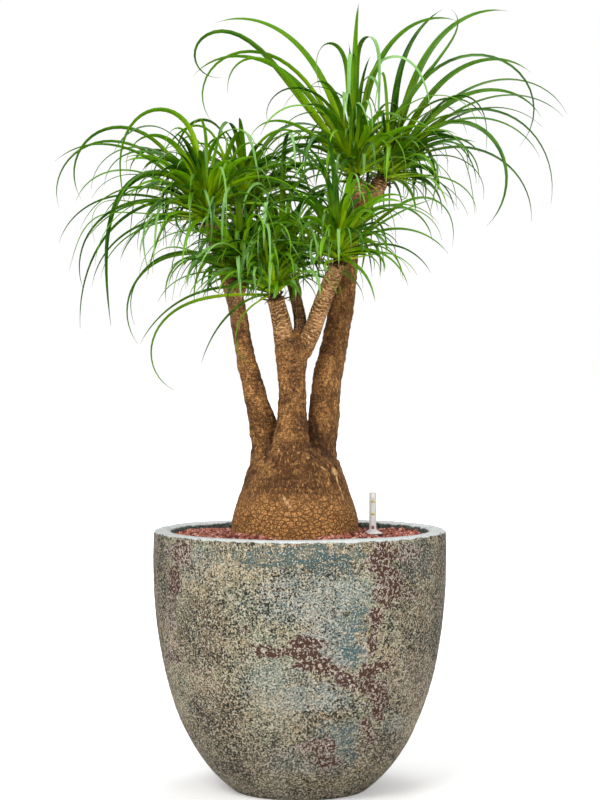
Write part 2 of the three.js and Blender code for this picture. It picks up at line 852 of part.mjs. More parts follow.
function pottedPalm() {
  const caudexRoom = caudex(GAP);
  const trunkSolid = trunk();
  const palm = new THREE.Group();
  palm.add(
    pieceOf('planter', planter(), COLOURS.planter, 0.75),
    pieceOf('culture_pot', culturePot(), COLOURS.plastic, 0.6),
    pieceOf('outer_bed', outerBed(), COLOURS.clay, 0.95),
    pieceOf('rooting_bed', rootingBed(caudexRoom), COLOURS.clay, 0.95),
    pieceOf('top_dressing', topDressing(caudexRoom), COLOURS.granule, 0.9),
    pieceOf('gauge_tube', gaugeTube(), COLOURS.gauge, 0.3),
    pieceOf('gauge_float', gaugeFloat(), COLOURS.float, 0.5),
    pieceOf('trunk', trunkSolid, COLOURS.bark, 0.9),
  );
  growHeads(trunkSolid).forEach((head) => {
    const leafy = mainBody(wasm.Manifold.union(head.solids));
    palm.add(pieceOf(head.name, leafy, COLOURS.leaf, 0.5));
  });
  return palm;
}

export default pottedPalm();
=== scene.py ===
"""The finished surfaces of a ponytail palm in a rough-glazed planter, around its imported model.

The file is laid out as an add-on and run as a script. Everything is in metres, in the frame of the
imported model: +Z up, the viewer at -Y, the origin at the centre of the planter's flat base.
"""

import math

import bmesh
import bpy
import numpy as np
from bpy.props import FloatProperty, FloatVectorProperty, IntProperty, PointerProperty
from mathutils import Matrix, Quaternion, Vector, bvhtree, kdtree, noise


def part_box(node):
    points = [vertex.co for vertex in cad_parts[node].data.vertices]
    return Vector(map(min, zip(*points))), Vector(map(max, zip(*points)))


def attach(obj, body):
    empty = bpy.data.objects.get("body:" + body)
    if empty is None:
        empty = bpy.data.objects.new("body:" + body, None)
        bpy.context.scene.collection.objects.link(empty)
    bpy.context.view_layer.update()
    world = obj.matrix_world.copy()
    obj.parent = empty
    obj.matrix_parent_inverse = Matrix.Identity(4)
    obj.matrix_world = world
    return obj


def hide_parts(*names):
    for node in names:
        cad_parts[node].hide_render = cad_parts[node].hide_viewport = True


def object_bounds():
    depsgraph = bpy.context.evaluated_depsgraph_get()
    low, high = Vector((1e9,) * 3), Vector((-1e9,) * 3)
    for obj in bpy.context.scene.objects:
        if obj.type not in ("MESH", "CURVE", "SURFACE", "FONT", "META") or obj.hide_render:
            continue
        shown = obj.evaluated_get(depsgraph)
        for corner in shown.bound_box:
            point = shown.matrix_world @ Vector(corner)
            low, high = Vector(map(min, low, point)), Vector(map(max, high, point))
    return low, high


bl_info = {
    "name": "Potted ponytail palm",
    "version": (1, 0, 0),
    "blender": (4, 5, 0),
    "location": "View3D > Sidebar > Palm",
    "description": "Builds the finished surfaces of a potted ponytail palm around its packed model",
    "category": "Object",
}

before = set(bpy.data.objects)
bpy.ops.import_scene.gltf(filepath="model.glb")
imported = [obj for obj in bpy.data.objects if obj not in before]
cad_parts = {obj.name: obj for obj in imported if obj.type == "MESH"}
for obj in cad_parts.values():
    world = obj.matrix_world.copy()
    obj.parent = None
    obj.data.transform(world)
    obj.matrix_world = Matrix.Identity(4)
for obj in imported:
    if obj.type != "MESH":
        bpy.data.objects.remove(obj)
CAD_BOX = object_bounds()

PLANT = "potted_plant"
FLOAT = "float"
MM = 0.001


def srgb(red, green, blue):
    """A colour given in 0 to 255 as the linear values that Blender works in."""
    values = []
    for part in (red, green, blue):
        share = part / 255
        values.append(share / 12.92 if share <= 0.04045 else ((share + 0.055) / 1.055) ** 2.4)
    return tuple(values)


def smooth(low, high, value):
    """0 below low, 1 above high, and a soft step between."""
    share = min(max((value - low) / (high - low), 0.0), 1.0)
    return share * share * (3 - 2 * share)


def lerp(low, high, share):
    return low + (high - low) * share


def draws_from(seed):
    """A repeatable draw of numbers from 0 to 1."""
    state = seed
    while True:
        state = (state * 1664525 + 1013904223) % 4294967296
        yield state / 4294967296


# ---- Settings ----

def length(label, words, value):
    return FloatProperty(name=label, description=words, default=value, min=0.0, unit="LENGTH")


def share(label, words, value):
    return FloatProperty(
        name=label, description=words, default=value, min=0.0, max=1.0, subtype="FACTOR")


def number(label, words, value):
    return IntProperty(name=label, description=words, default=value, min=1)


def colour(label, words, *value):
    return FloatVectorProperty(
        name=label, description=words, default=srgb(*value), size=3, min=0.0, max=1.0, subtype="COLOR")


class PlanterSettings(bpy.types.PropertyGroup):
    """Shape and glaze of the planter."""
    wall: length("Wall", "Thickness of the wall", 0.028)
    outer_round: length("Outer edge", "Radius of the lip's outer edge", 0.005)
    inner_round: length("Inner edge", "Radius of the lip's inner edge", 0.009)
    floor: length("Floor", "Height of the floor inside", 0.030)
    widest: length("Widest", "Height where the planter is widest", 0.350)
    taper: length("Taper", "Depth below the widest height where the side's curve would close", 0.378)
    squareness: FloatProperty(
        name="Squareness", description="Exponent of the side's curve, 2 for an ellipse", default=2.3,
        min=1.0)
    unevenness: length("Unevenness", "How far the thrown wall wanders in and out", 0.0011)
    crust: length("Crust", "Height of the glaze's coarse crust", 0.00045)
    ground: colour("Ground", "Main colour of the glaze", 168, 147, 110)
    moss: colour("Moss", "Grey-green of the cooler stretches", 124, 132, 108)
    haze: colour("Haze", "Blue-grey of the thicker glaze", 130, 148, 152)
    cream: colour("Cream", "Pale crumbs that stand proud", 214, 202, 180)
    pit: colour("Pit", "Bottom of the dark pits", 24, 26, 22)
    teal: colour("Teal", "Glassy blue pools", 38, 82, 88)
    rust: colour("Rust", "Worn red-brown body", 70, 37, 24)
    fringe: colour("Fringe", "Pale edges of the worn body", 230, 214, 200)
    # olive is also painted on as shade towards the planter's left and right sides and its foot
    olive: colour("Olive", "Brown of the burnt stretches and the foot", 86, 68, 46)
    # lip is partly pale glaze and partly a painted highlight along the lip's top
    lip: colour("Lip", "Pale glaze on the lip", 216, 224, 226)


class GranuleSettings(bpy.types.PropertyGroup):
    """The layer of clay granules on top."""
    size: length("Size", "Mean width of a granule", 0.0062)
    spacing: length("Spacing", "Distance between neighbours", 0.0050)
    seed: number("Seed", "Start of the random draws", 71)
    clay: colour("Clay", "Main colour of the granules", 190, 112, 92)
    dark: colour("Dark", "Darkest granules", 96, 50, 44)
    pale: colour("Pale", "Palest granules", 240, 184, 164)


class BarkSettings(bpy.types.PropertyGroup):
    """The swollen base, the stems and their bark."""
    voxel: length("Grain", "Spacing of the mesh that the bark is pressed into", 0.0020)
    plate: length("Plate", "Width of a bark plate on the swollen base", 0.0085)
    lumps: length("Lumps", "Height of the bark's lumps", 0.0016)
    ring: length("Ring", "Spacing of the leaf scars on the branches", 0.0056)
    body: colour("Body", "Main colour of the bark", 206, 143, 81)
    ridge: colour("Ridge", "Worn tops of the plates", 230, 172, 104)
    shade: colour("Shade", "Weathered bark of the upper base and the hollows", 100, 64, 34)
    # crack also colours the painted shade in the wrinkles, the hollows and at the foot of the branch at
    # the back
    crack: colour("Crack", "Bottom of the cracks", 58, 36, 18)
    branch: colour("Branch", "Ringed bark of the branches", 186, 138, 92)
    scar: colour("Scar", "Pale scars", 226, 182, 124)


class LeafSettings(bpy.types.PropertyGroup):
    """Number, size and colours of the leaves."""
    extra: number("Extra leaves", "Fine leaves in a full head, besides the main ones", 60)
    sheaths: number("Sheaths", "Short broad leaves in the middle of each head", 20)
    segments: number("Segments", "Rings along a leaf", 24)
    thickness: length("Thickness", "Thickness of a blade", 0.0005)
    seed: number("Seed", "Start of the main leaves' random draws", 2415)
    extra_seed: number("Extra seed", "Start of the fine leaves' random draws", 97)
    deep: colour("Deep", "Dark green of the older blades", 24, 70, 0)
    fresh: colour("Fresh", "Bright green of the blades", 118, 176, 0)
    lime: colour("Lime", "Yellow-green at the roots", 184, 214, 6)
    # mint is a painted sheen on the upper faces of the folded blades
    mint: colour("Mint", "Pale bloom on the folded blades", 132, 178, 104)
    straw: colour("Straw", "Dry tips", 146, 120, 76)
    husk: colour("Husk", "Dead leaf bases", 66, 42, 24)


class GaugeSettings(bpy.types.PropertyGroup):
    """The water gauge and its float."""
    wall: length("Wall", "Thickness of the tube", 0.001)
    clearness: share("Clearness", "How much shows through the clear strip", 0.95)
    tube: colour("Tube", "White plastic of the tube", 216, 213, 210)
    bar: colour("Bar", "Bars printed on the tube", 226, 206, 116)
    rod: colour("Rod", "Pale plastic of the float", 216, 216, 212)
    tip: colour("Tip", "Red tip of the float", 196, 30, 8)


class HiddenSettings(bpy.types.PropertyGroup):
    """What the granules hide."""
    pot: colour("Pot", "Dark plastic of the inner pot", 38, 40, 42)
    clay: colour("Clay", "Clay granules of the two beds", 150, 98, 70)


class StageSettings(bpy.types.PropertyGroup):
    """Camera, light and floor."""
    distance: length("Distance", "Camera in front of the planter's axis", 3.272)
    height: length("Height", "Camera above the floor", 0.638)
    aside: length("Aside", "Camera to the right of the planter's axis", 0.0003)
    drop: FloatProperty(name="Drop", description="How far the lens is shifted down", default=0.0576)
    lens: FloatProperty(
        name="Lens", description="Focal length in millimetres", default=100.0, unit="CAMERA")
    floor: colour("Floor", "Colour of the floor", 244, 244, 243)
    power: FloatProperty(name="Power", description="Power of the key light", default=62.0, unit="POWER")
    ambient: share("Ambient", "Light from all round", 0.5)


GROUPS = {
    "palm_planter": PlanterSettings,
    "palm_granules": GranuleSettings,
    "palm_bark": BarkSettings,
    "palm_leaves": LeafSettings,
    "palm_gauge": GaugeSettings,
    "palm_hidden": HiddenSettings,
    "palm_stage": StageSettings,
}


# ---- Shader nodes ----

class Graph:
    """Adds nodes to a shader tree; each call returns the new node's output."""

    def __init__(self, tree):
        self.tree = tree

    def add(self, kind, inputs=None, output=0, **settings):
        node = self.tree.nodes.new(kind)
        for name, value in settings.items():
            setattr(node, name, value)
        for key, value in (inputs or {}).items():
            self.feed(node.inputs[key], value)
        return node.outputs[output]

    def feed(self, socket, value):
        if isinstance(value, bpy.types.NodeSocket):
            self.tree.links.new(value, socket)
        elif socket.type == "RGBA" and len(value) == 3:
            socket.default_value = (*value, 1.0)
        else:
            socket.default_value = value

    def place(self):
        return self.add("ShaderNodeTexCoord", output="Object")

    def axis(self, place, name):
        return self.add("ShaderNodeSeparateXYZ", {"Vector": place}, output=name)

    def attribute(self, name):
        return self.add("ShaderNodeAttribute", output="Fac", attribute_name=name)

    def noise(self, place, scale, detail=2.0, roughness=0.5, output=0):
        return self.add("ShaderNodeTexNoise", {
            "Vector": place, "Scale": scale, "Detail": detail, "Roughness": roughness}, output=output)

    def cells(self, place, scale, feature="F1", output="Distance"):
        return self.add(
            "ShaderNodeTexVoronoi", {"Vector": place, "Scale": scale}, output=output, feature=feature)

    def step(self, value, low, high, start=0.0, end=1.0):
        """A soft step from start, where the value is low, to end, where it is high."""
        return self.add("ShaderNodeMapRange", {
            "Value": value, "From Min": low, "From Max": high, "To Min": start, "To Max": end,
        }, interpolation_type="SMOOTHSTEP")

    def math(self, operation, first, second=0.0):
        return self.add("ShaderNodeMath", {0: first, 1: second}, operation=operation)

    def times(self, first, second):
        return self.math("MULTIPLY", first, second)

    def plus(self, first, second):
        return self.math("ADD", first, second)

    def minus(self, first, second):
        return self.math("SUBTRACT", first, second)

    def most(self, first, second):
        return self.math("MAXIMUM", first, second)

    def vector(self, operation, first, second=(0.0, 0.0, 0.0), output=0, scale=1.0):
        return self.add(
            "ShaderNodeVectorMath", {0: first, 1: second, 3: scale}, output=output, operation=operation)

    def mapped(self, place, **changes):
        names = {"at": "Location", "turn": "Rotation", "size": "Scale"}
        inputs = {"Vector": place, **{names[key]: value for key, value in changes.items()}}
        return self.add("ShaderNodeMapping", inputs)

    def mix(self, factor, first, second):
        """A mix of two colours."""
        return self.add(
            "ShaderNodeMix", {0: factor, 6: first, 7: second}, output=2, data_type="RGBA")

    def blend(self, factor, first, second):
        """A mix of two values."""
        return self.add("ShaderNodeMix", {0: factor, 2: first, 3: second}, data_type="FLOAT")

    def grouped(self, tree, **inputs):
        node = self.tree.nodes.new("ShaderNodeGroup")
        node.node_tree = tree
        for key, value in inputs.items():
            self.feed(node.inputs[key], value)
        return node.outputs[0]


def new_group(name, inputs, output):
    """A shader node group with inputs given as (name, socket kind, default) and one named output."""
    tree = bpy.data.node_groups.new(name, "ShaderNodeTree")
    for label, kind, default in inputs:
        socket = tree.interface.new_socket(label, in_out="INPUT", socket_type=kind)
        if default is not None:
            socket.default_value = default
    tree.interface.new_socket(output, in_out="OUTPUT", socket_type="NodeSocketFloat")
    graph = Graph(tree)
    given = tree.nodes.new("NodeGroupInput").outputs
    ends = tree.nodes.new("NodeGroupOutput").inputs
    return tree, graph, given, ends


def mottle_group():
    """Cloudy value from 0 to 1, made of a coarse and a fine noise."""
    if "mottle" in bpy.data.node_groups:
        return bpy.data.node_groups["mottle"]
    tree, graph, given, ends = new_group("mottle", [
        ("Place", "NodeSocketVector", None),
        ("Coarse", "NodeSocketFloat", 10.0),
        ("Fine", "NodeSocketFloat", 60.0),
    ], "Value")
    coarse = graph.noise(given["Place"], given["Coarse"], 3.0)
    fine = graph.noise(given["Place"], given["Fine"], 3.0, 0.6)
    both = graph.plus(graph.times(coarse, 0.62), graph.times(fine, 0.38))
    graph.feed(ends["Value"], graph.step(both, 0.36, 0.64))
    return tree


def speckle_group():
    """Ragged spots that cover about the given share of the surface."""
    if "speckle" in bpy.data.node_groups:
        return bpy.data.node_groups["speckle"]
    tree, graph, given, ends = new_group("speckle", [
        ("Place", "NodeSocketVector", None),
        ("Scale", "NodeSocketFloat", 300.0),
        ("Cover", "NodeSocketFloat", 0.3),
    ], "Mask")
    grain = graph.noise(given["Place"], given["Scale"], 2.0, 0.6)
    edge = graph.minus(0.66, graph.times(given["Cover"], 0.32))
    low = graph.minus(edge, 0.035)
    high = graph.plus(edge, 0.035)
    graph.feed(ends["Mask"], graph.step(grain, low, high))
    return tree


def pore_group():
    """Ragged round spots of different sizes, about one in each cell; cover is their reach in cells."""
    if "pores" in bpy.data.node_groups:
        return bpy.data.node_groups["pores"]
    tree, graph, given, ends = new_group("pores", [
        ("Place", "NodeSocketVector", None),
        ("Cells", "NodeSocketFloat", 300.0),
        ("Cover", "NodeSocketFloat", 0.3),
    ], "Mask")
    sized = graph.vector("SCALE", given["Place"], scale=given["Cells"])
    ragged = graph.noise(sized, 1.9, 1.0, output="Color")
    bent = graph.vector("ADD", sized, graph.vector("SCALE", ragged, scale=0.75))
    away = graph.cells(bent, 1.0)
    chance = graph.cells(bent, 1.0, output="Color")
    reach = graph.times(given["Cover"], graph.step(chance, 0.2, 0.8, 0.5, 1.5))
    graph.feed(ends["Mask"], graph.step(graph.minus(away, reach), 0.07, -0.07))
    return tree


def patch_group():
    """A ragged oval seen from the front: 1 inside and 0 outside."""
    if "patch" in bpy.data.node_groups:
        return bpy.data.node_groups["patch"]
    tree, graph, given, ends = new_group("patch", [
        ("Place", "NodeSocketVector", None),
        ("Centre", "NodeSocketVector", None),
        ("Turn", "NodeSocketVector", None),
        ("Reach", "NodeSocketVector", (0.02, 1.0, 0.02)),
        ("Wander", "NodeSocketFloat", 0.8),
        ("Strength", "NodeSocketFloat", 1.0),
    ], "Mask")
    moved = graph.vector("SUBTRACT", given["Place"], given["Centre"])
    turned = graph.add("ShaderNodeVectorRotate", {
        "Vector": moved, "Rotation": given["Turn"]}, rotation_type="EULER_XYZ")
    sized = graph.vector("DIVIDE", turned, given["Reach"])
    flat = graph.vector("MULTIPLY", sized, (1.0, 0.0, 1.0))
    away = graph.vector("LENGTH", flat, output="Value")
    ragged = graph.minus(graph.noise(given["Place"], 70.0, 4.0, 0.7), 0.5)
    wandered = graph.plus(away, graph.times(ragged, graph.times(given["Wander"], 4.0)))
    inside = graph.step(wandered, 1.15, 0.65)
    front = graph.step(graph.axis(given["Place"], "Y"), 0.02, -0.03)
    graph.feed(ends["Mask"], graph.times(graph.times(inside, front), given["Strength"]))
    return tree


def new_material(name, kind=Graph, **settings):
    """A material with one Principled shader; kind adds its nodes, and settings are its plain sockets."""
    material = bpy.data.materials.new(name)
    material.use_nodes = True
    graph = kind(material.node_tree)
    shader = material.node_tree.nodes["Principled BSDF"]
    for key, value in settings.items():
        graph.feed(shader.inputs[key.replace("_", " ")], value)
    return material, graph, shader


def mottled(graph, coarse, fine):
    """The cloudy value at each place of a piece."""
    return graph.grouped(mottle_group(), Place=graph.place(), Coarse=coarse, Fine=fine)


def bumped(graph, shader, height, strength, distance):
    """Gives the surface a fine relief."""
    normal = graph.add("ShaderNodeBump", {
        "Strength": strength, "Distance": distance, "Height": height}, output="Normal")
    graph.feed(shader.inputs["Normal"], normal)


# ---- Pieces ----

def new_piece(name, mesh, body, slot, *materials):
    """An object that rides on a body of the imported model."""
    piece = bpy.data.objects.new(name, mesh)
    bpy.context.scene.collection.objects.link(piece)
    for material in materials:
        mesh.materials.append(material)
    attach(piece, body)
    return piece


def mesh_of(name, bm, shaded_smooth=True):
    """A mesh made of a bmesh, which is freed."""
    mesh = bpy.data.meshes.new(name)
    for face in bm.faces:
        face.smooth = shaded_smooth
    bm.to_mesh(mesh)
    bm.free()
    return mesh


def poured(target, bm):
    """Adds one bmesh to another and frees it."""
    scrap = bpy.data.meshes.new("scrap")
    bm.to_mesh(scrap)
    bm.free()
    target.from_mesh(scrap)
    bpy.data.meshes.remove(scrap)


def turned(profile, steps, centre=(0.0, 0.0)):
    """A bmesh spun about a vertical axis from a list of (radius, height)."""
    bm = bmesh.new()
    verts = [bm.verts.new((centre[0] + radius, centre[1], height)) for radius, height in profile]
    edges = [bm.edges.new(pair) for pair in zip(verts, verts[1:])]
    bmesh.ops.spin(
        bm, geom=verts + edges, cent=(*centre, 0.0), axis=(0.0, 0.0, 1.0), angle=2 * math.pi,
        steps=steps, use_merge=True)
    bmesh.ops.remove_doubles(bm, verts=bm.verts, dist=1e-6)
    bmesh.ops.recalc_face_normals(bm, faces=bm.faces)
    return bm


def noise_sum(place, *sizes):
    """Noise of several sizes added up, each size given as (waves to a metre, share)."""
    return sum(part * noise.noise(place * waves) for waves, part in sizes)


def set_values(mesh, name, values):
    """Stores one value for each vertex, for the material to read."""
    layer = mesh.attributes.new(name, "FLOAT", "POINT")
    layer.data.foreach_set("value", np.asarray(values, np.float32))


# ---- Planter ----

PLANTER_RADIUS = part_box("planter")[1].x
PLANTER_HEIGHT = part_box("planter")[1].z
PLANTER_STEPS = 420
SIDE_STEP = 0.0031  # distance between the rings up the side
EDGE_STEPS = 5
FLAT_STEPS = 5
BASE_RINGS = 5
SEEN_INSIDE = 0.345  # below this height the granules hide the inner wall
HIDDEN_RINGS = (0.29, 0.21, 0.15, 0.115, 0.08, 0.056)  # heights of the few rings that it has there
FLOOR_ROUND = 0.022  # how far the floor's edge lies in from the lowest of them
THROWN_RISE = 0.00022  # height of the fine rings that throwing left
ROUGH_FROM = 0.012  # height from which the roughness is full
LIP_FROM, LIP_FULL = 0.3765, 0.3785  # heights between which the lip's pale glaze and painted highlight set in
INSIDE_FROM, INSIDE_FULL = 0.1935, 0.1895  # distances from the axis between which the inside sets in
INSIDE_LOW, INSIDE_HIGH = 0.25, 0.26  # heights between which its dark glaze and painted shade end

# Patches of the glaze as seen from the front, each as (x, z, half width, half height, turn in degrees,
# strength), in millimetres from the middle of the foot.
HAZE_PATCHES = [
    (20, 300, 92, 40, 0, 0.8),
    (-20, 170, 70, 44, -14, 0.5),
    (50, 248, 40, 70, 24, 0.9),
    (24, 160, 62, 22, -6, 0.8),
    (50, 86, 40, 44, 14, 0.8),
    (132, 104, 34, 22, 30, 0.5),
    (-12, 64, 44, 20, 0, 0.7),
    (-150, 345, 30, 26, 0, 0.5),
]
TEAL_PATCHES = [
    (6, 358, 112, 20, 0, 1.0),
    (42, 352, 40, 24, 0, 1.0),
    (-20, 345, 15, 14, 0, 0.9),
    (-128, 354, 26, 16, 0, 0.6),
    (166, 346, 34, 26, 0, 0.5),
    (78, 268, 22, 24, 26, 0.8),
    (72, 226, 15, 34, 8, 1.0),
    (63, 96, 16, 36, 18, 1.0),
    (78, 122, 12, 9, 20, 0.7),
    (-22, 60, 26, 10, 0, 0.7),
    (134, 116, 22, 12, 20, 0.4),
    (-50, 310, 30, 14, -10, 0.3),
]
RUST_PATCHES = [
    (-44, 228, 20, 6, -6, 0.9),
    (-38, 264, 14, 4, 0, 0.5),
    (-78, 258, 5, 4, 0, 0.8),
    (15, 238, 20, 7, -4, 1.0),
    (6, 222, 30, 6, -12, 1.0),
    (30, 207, 30, 8, -16, 1.0),
    (66, 188, 19, 7, -28, 1.0),
    (100, 197, 19, 8, 10, 1.0),
    (92, 174, 19, 8, 0, 1.0),
    (113, 158, 10, 12, 0, 1.0),
    (109, 138, 7, 14, 0, 1.0),
    (97, 110, 6, 17, 18, 1.0),
    (106, 268, 7, 13, 0, 1.0),
    (102, 236, 5, 18, -6, 0.8),
    (112, 352, 15, 22, 0, 0.9),
    (124, 316, 17, 22, 0, 0.85),
    (142, 300, 24, 5, 0, 0.8),
    (146, 362, 17, 11, 0, 0.7),
    (150, 182, 34, 26, 0, 0.5),
    (28, 90, 20, 8, 0, 0.8),
    (40, 70, 11, 11, 0, 1.0),
    (28, 277, 15, 4, 0, 0.5),
    (-178, 318, 7, 20, 0, 1.0),
    (-168, 356, 13, 16, 0, 0.8),
    (-185, 262, 6, 26, 0, 0.7),
    (-182, 206, 9, 12, 0, 0.8),
]
OLIVE_PATCHES = [
    (174, 340, 40, 34, 0, 1.0),
    (168, 270, 40, 60, 0, 0.7),
    (178, 190, 36, 60, 0, 0.9),
    (128, 180, 44, 30, 0, 0.6),
    (-182, 290, 16, 60, 0, 0.8),
    (-120, 130, 44, 54, 0, 1.0),
    (-92, 70, 60, 40, 0, 0.8),
    (44, 346, 44, 18, 0, 0.9),
    (20, 128, 50, 14, 0, 0.6),
    (20, 84, 30, 22, 0, 0.8),
    (110, 78, 46, 34, 0, 1.0),
    (-140, 240, 44, 70, 0, 0.85),
]


# The glaze's four fields: the patches in front, how far their edges wander, how far they spread, and,
# for the clouds that take their place behind, the offset and the two limits.
FIELDS = (
    (HAZE_PATCHES, 0.5, 1.0, (9.0, 2.0, 1.0), 0.48, 0.62),
    (OLIVE_PATCHES, 0.5, 1.0, (3.0, 1.0, 0.0), 0.52, 0.64),
    (TEAL_PATCHES, 0.8, 1.0, (0.0, 5.0, 2.0), 0.56, 0.66),
    (RUST_PATCHES, 0.7, 1.6, (7.0, 0.0, 4.0), 0.56, 0.63),
)


def planter_radius(height, planter):
    drop = abs(planter.widest - height) / planter.taper
    return PLANTER_RADIUS * (1 - drop ** planter.squareness) ** (1 / planter.squareness)


def quarter(centre, height, radius, start):
    """Points (radius, height) of a quarter circle that begins after the given number of quarters."""
    angles = [math.pi / 2 * (start + point / EDGE_STEPS) for point in range(EDGE_STEPS + 1)]
    return [(centre + radius * math.cos(angle), height + radius * math.sin(angle)) for angle in angles]


def planter_profile(planter):
    """(radius, height) from the middle of the foot, round the lip, to the middle of the floor."""
    foot = planter_radius(0.0, planter)
    profile = [(foot * ring / BASE_RINGS, 0.0) for ring in range(BASE_RINGS)]
    shoulder = PLANTER_HEIGHT - planter.outer_round
    height = 0.0
    while height < shoulder:
        profile.append((planter_radius(height, planter), height))
        slope = (planter_radius(height + MM, planter) - planter_radius(height, planter)) / MM
        height += SIDE_STEP / math.hypot(1.0, slope)
    outside = planter_radius(shoulder, planter) - planter.outer_round
    profile.extend(quarter(outside, shoulder, planter.outer_round, 0))
    shoulder = PLANTER_HEIGHT - planter.inner_round
    inside = planter_radius(shoulder, planter) - planter.wall + planter.inner_round
    for point in range(1, FLAT_STEPS):
        profile.append((lerp(outside, inside, point / FLAT_STEPS), PLANTER_HEIGHT))
    profile.extend(quarter(inside, shoulder, planter.inner_round, 1))
    height = shoulder - SIDE_STEP
    while height > SEEN_INSIDE:
        profile.append((planter_radius(height, planter) - planter.wall, height))
        height -= SIDE_STEP
    for height in HIDDEN_RINGS:
        profile.append((planter_radius(height, planter) - planter.wall, height))
    profile.extend([(profile[-1][0] - FLOOR_ROUND, planter.floor), (0.0, planter.floor)])
    return profile


def roughen_planter(bm, planter):
    """Presses the wandering of the thrown wall and the glaze's crust into the mesh."""
    bm.normal_update()
    moves = []
    for vert in bm.verts:
        place = vert.co
        high_or_wide = max(place.z, place.xy.length * 2)
        seen = smooth(0.0, ROUGH_FROM, place.z) * smooth(SEEN_INSIDE - 0.02, SEEN_INSIDE, high_or_wide)
        thrown = noise.noise(Vector((place.x * 3, place.y * 3, place.z * 120)))
        broad = noise_sum(place, (8.0, 1.0), (24.0, 0.4))
        crust = noise_sum(place, (95.0, 1.0), (210.0, 0.7))
        moves.append(vert.normal * seen * (
            planter.unevenness * broad + planter.crust * crust + THROWN_RISE * thrown))
    for vert, move in zip(bm.verts, moves):
        vert.co += move


def patches(graph, place, rows, wander, spread):
    """1 inside any of the ragged ovals in a list and 0 outside them."""
    whole = 0.0
    for x, z, half_width, half_height, turn, strength in rows:
        mask = graph.grouped(
            patch_group(), Place=place, Centre=(x * MM, 0.0, z * MM),
            Turn=(0.0, math.radians(turn), 0.0), Wander=wander, Strength=strength,
            Reach=(half_width * MM * spread, 1.0, half_height * MM * spread))
        whole = graph.most(whole, mask)
    return whole


def behind(graph, place, offset, low, high):
    """Clouds that take the place of the patches on the planter's back."""
    cloud = graph.noise(graph.mapped(place, at=offset), 13.0, 4.0, 0.65)
    return graph.times(graph.step(cloud, low, high), graph.step(graph.axis(place, "Y"), -0.06, 0.04))


def pores(graph, place, cells, cover, offset):
    return graph.grouped(
        pore_group(), Place=graph.mapped(place, at=offset), Cells=cells, Cover=cover)


def glaze_flow(graph, place, planter, grain, haze, olive, teal):
    """The glaze's flowing colours with painted shade towards its sides and foot, how pooled and how
    glassy it is, and how far out to the side.
    """
    clouds = mottled(graph, 11.0, 46.0)
    brush = graph.noise(graph.mapped(place, size=(1.0, 1.0, 7.0), turn=(0.0, 0.3, 0.0)), 34.0, 4.0, 0.6)
    pooled = graph.times(haze, graph.step(brush, 0.35, 0.6, 0.45, 0.95))
    glassy = graph.times(teal, graph.step(brush, 0.3, 0.6, 0.25, 1.0))
    aside = graph.math("ABSOLUTE", graph.axis(place, "X"))
    edge = graph.plus(aside, graph.step(brush, 0.3, 0.7, -0.006, 0.006))
    rise = graph.step(graph.noise(place, 12.0, 3.0), 0.3, 0.7, -0.03, 0.03)
    foot = graph.plus(graph.axis(place, "Z"), rise)
    now = graph.mix(clouds, planter.moss, planter.ground)
    now = graph.mix(pooled, now, planter.haze)
    now = graph.mix(graph.times(olive, 0.78), now, planter.olive)
    now = graph.mix(graph.step(brush, 0.50, 0.66, 0.0, 0.5), now, planter.moss)
    now = graph.mix(graph.times(glassy, 0.9), now, planter.teal)
    # painted shade: browner and darker towards the left and right sides as seen from the front
    now = graph.mix(graph.step(edge, 0.180, 0.211, 0.0, 0.66), now, planter.olive)
    # painted shade: darker and browner towards the foot
    now = graph.mix(graph.step(foot, 0.15, 0.0, 0.0, 0.62), now, planter.olive)
    now = graph.mix(graph.step(grain, 0.3, 0.7, 0.30, 0.0), now, planter.pit)
    return now, pooled, glassy, edge


def glaze_crust(graph, place, pooled, glassy, edge):
    """How calm the glaze lies, its small pits and larger holes, and the pale crumbs on it."""
    calm = graph.most(glassy, graph.times(pooled, 0.5))
    calm = graph.most(calm, graph.step(edge, 0.190, 0.208, 0.0, 0.25))
    crowd = graph.step(graph.noise(place, 14.0, 5.0, 0.75), 0.34, 0.64, 0.28, 0.46)
    crowd = graph.times(crowd, graph.step(calm, 0.0, 1.0, 1.0, 0.5))
    crowd = graph.plus(crowd, graph.step(edge, 0.175, 0.205, 0.0, 0.07))
    pits = pores(graph, place, 400.0, crowd, (0.0, 0.0, 0.0))
    holes = pores(graph, place, 190.0, graph.minus(crowd, 0.16), (0.7, 0.4, 0.1))
    crumbs = pores(graph, place, 430.0, graph.step(calm, 0.0, 1.0, 0.46, 0.32), (0.3, 0.2, 0.5))
    return calm, pits, holes, crumbs


def glaze_inside(graph, place, planter, flakes, crumbs):
    """Where the dark glaze inside lies, and its colour, which is partly the glaze's own and partly
    painted shade.
    """
    away = graph.vector("LENGTH", graph.vector("MULTIPLY", place, (1.0, 1.0, 0.0)), output="Value")
    high = graph.step(graph.axis(place, "Z"), INSIDE_LOW, INSIDE_HIGH)
    inside_glaze_and_shade = graph.mix(graph.step(flakes, 0.40, 0.52), planter.teal, planter.pit)
    inside_glaze_and_shade = graph.mix(graph.times(crumbs, 0.5), inside_glaze_and_shade, planter.moss)
    return graph.times(graph.step(away, INSIDE_FROM, INSIDE_FULL), high), inside_glaze_and_shade


def glaze_lip(graph, place, planter, grain, pits):
    """Where the pale glaze on the lip lies, with a painted highlight along its top, and its colour with
    the chips.
    """
    wobble = graph.step(graph.noise(place, 75.0, 4.0, 0.7), 0.3, 0.7, -0.0012, 0.0012)
    rim = graph.step(graph.plus(graph.axis(place, "Z"), wobble), LIP_FROM, LIP_FULL)
    chipped = graph.step(graph.noise(place, 45.0, 4.0, 0.7), 0.50, 0.62)
    chipped = graph.times(graph.times(chipped, graph.axis(place, "X")), 3.5)
    pale = graph.mix(graph.step(grain, 0.35, 0.6, 0.35, 0.0), planter.lip, planter.ground)
    pale = graph.mix(graph.times(pits, graph.math("ABSOLUTE", chipped)), pale, planter.olive)
    return rim, pale


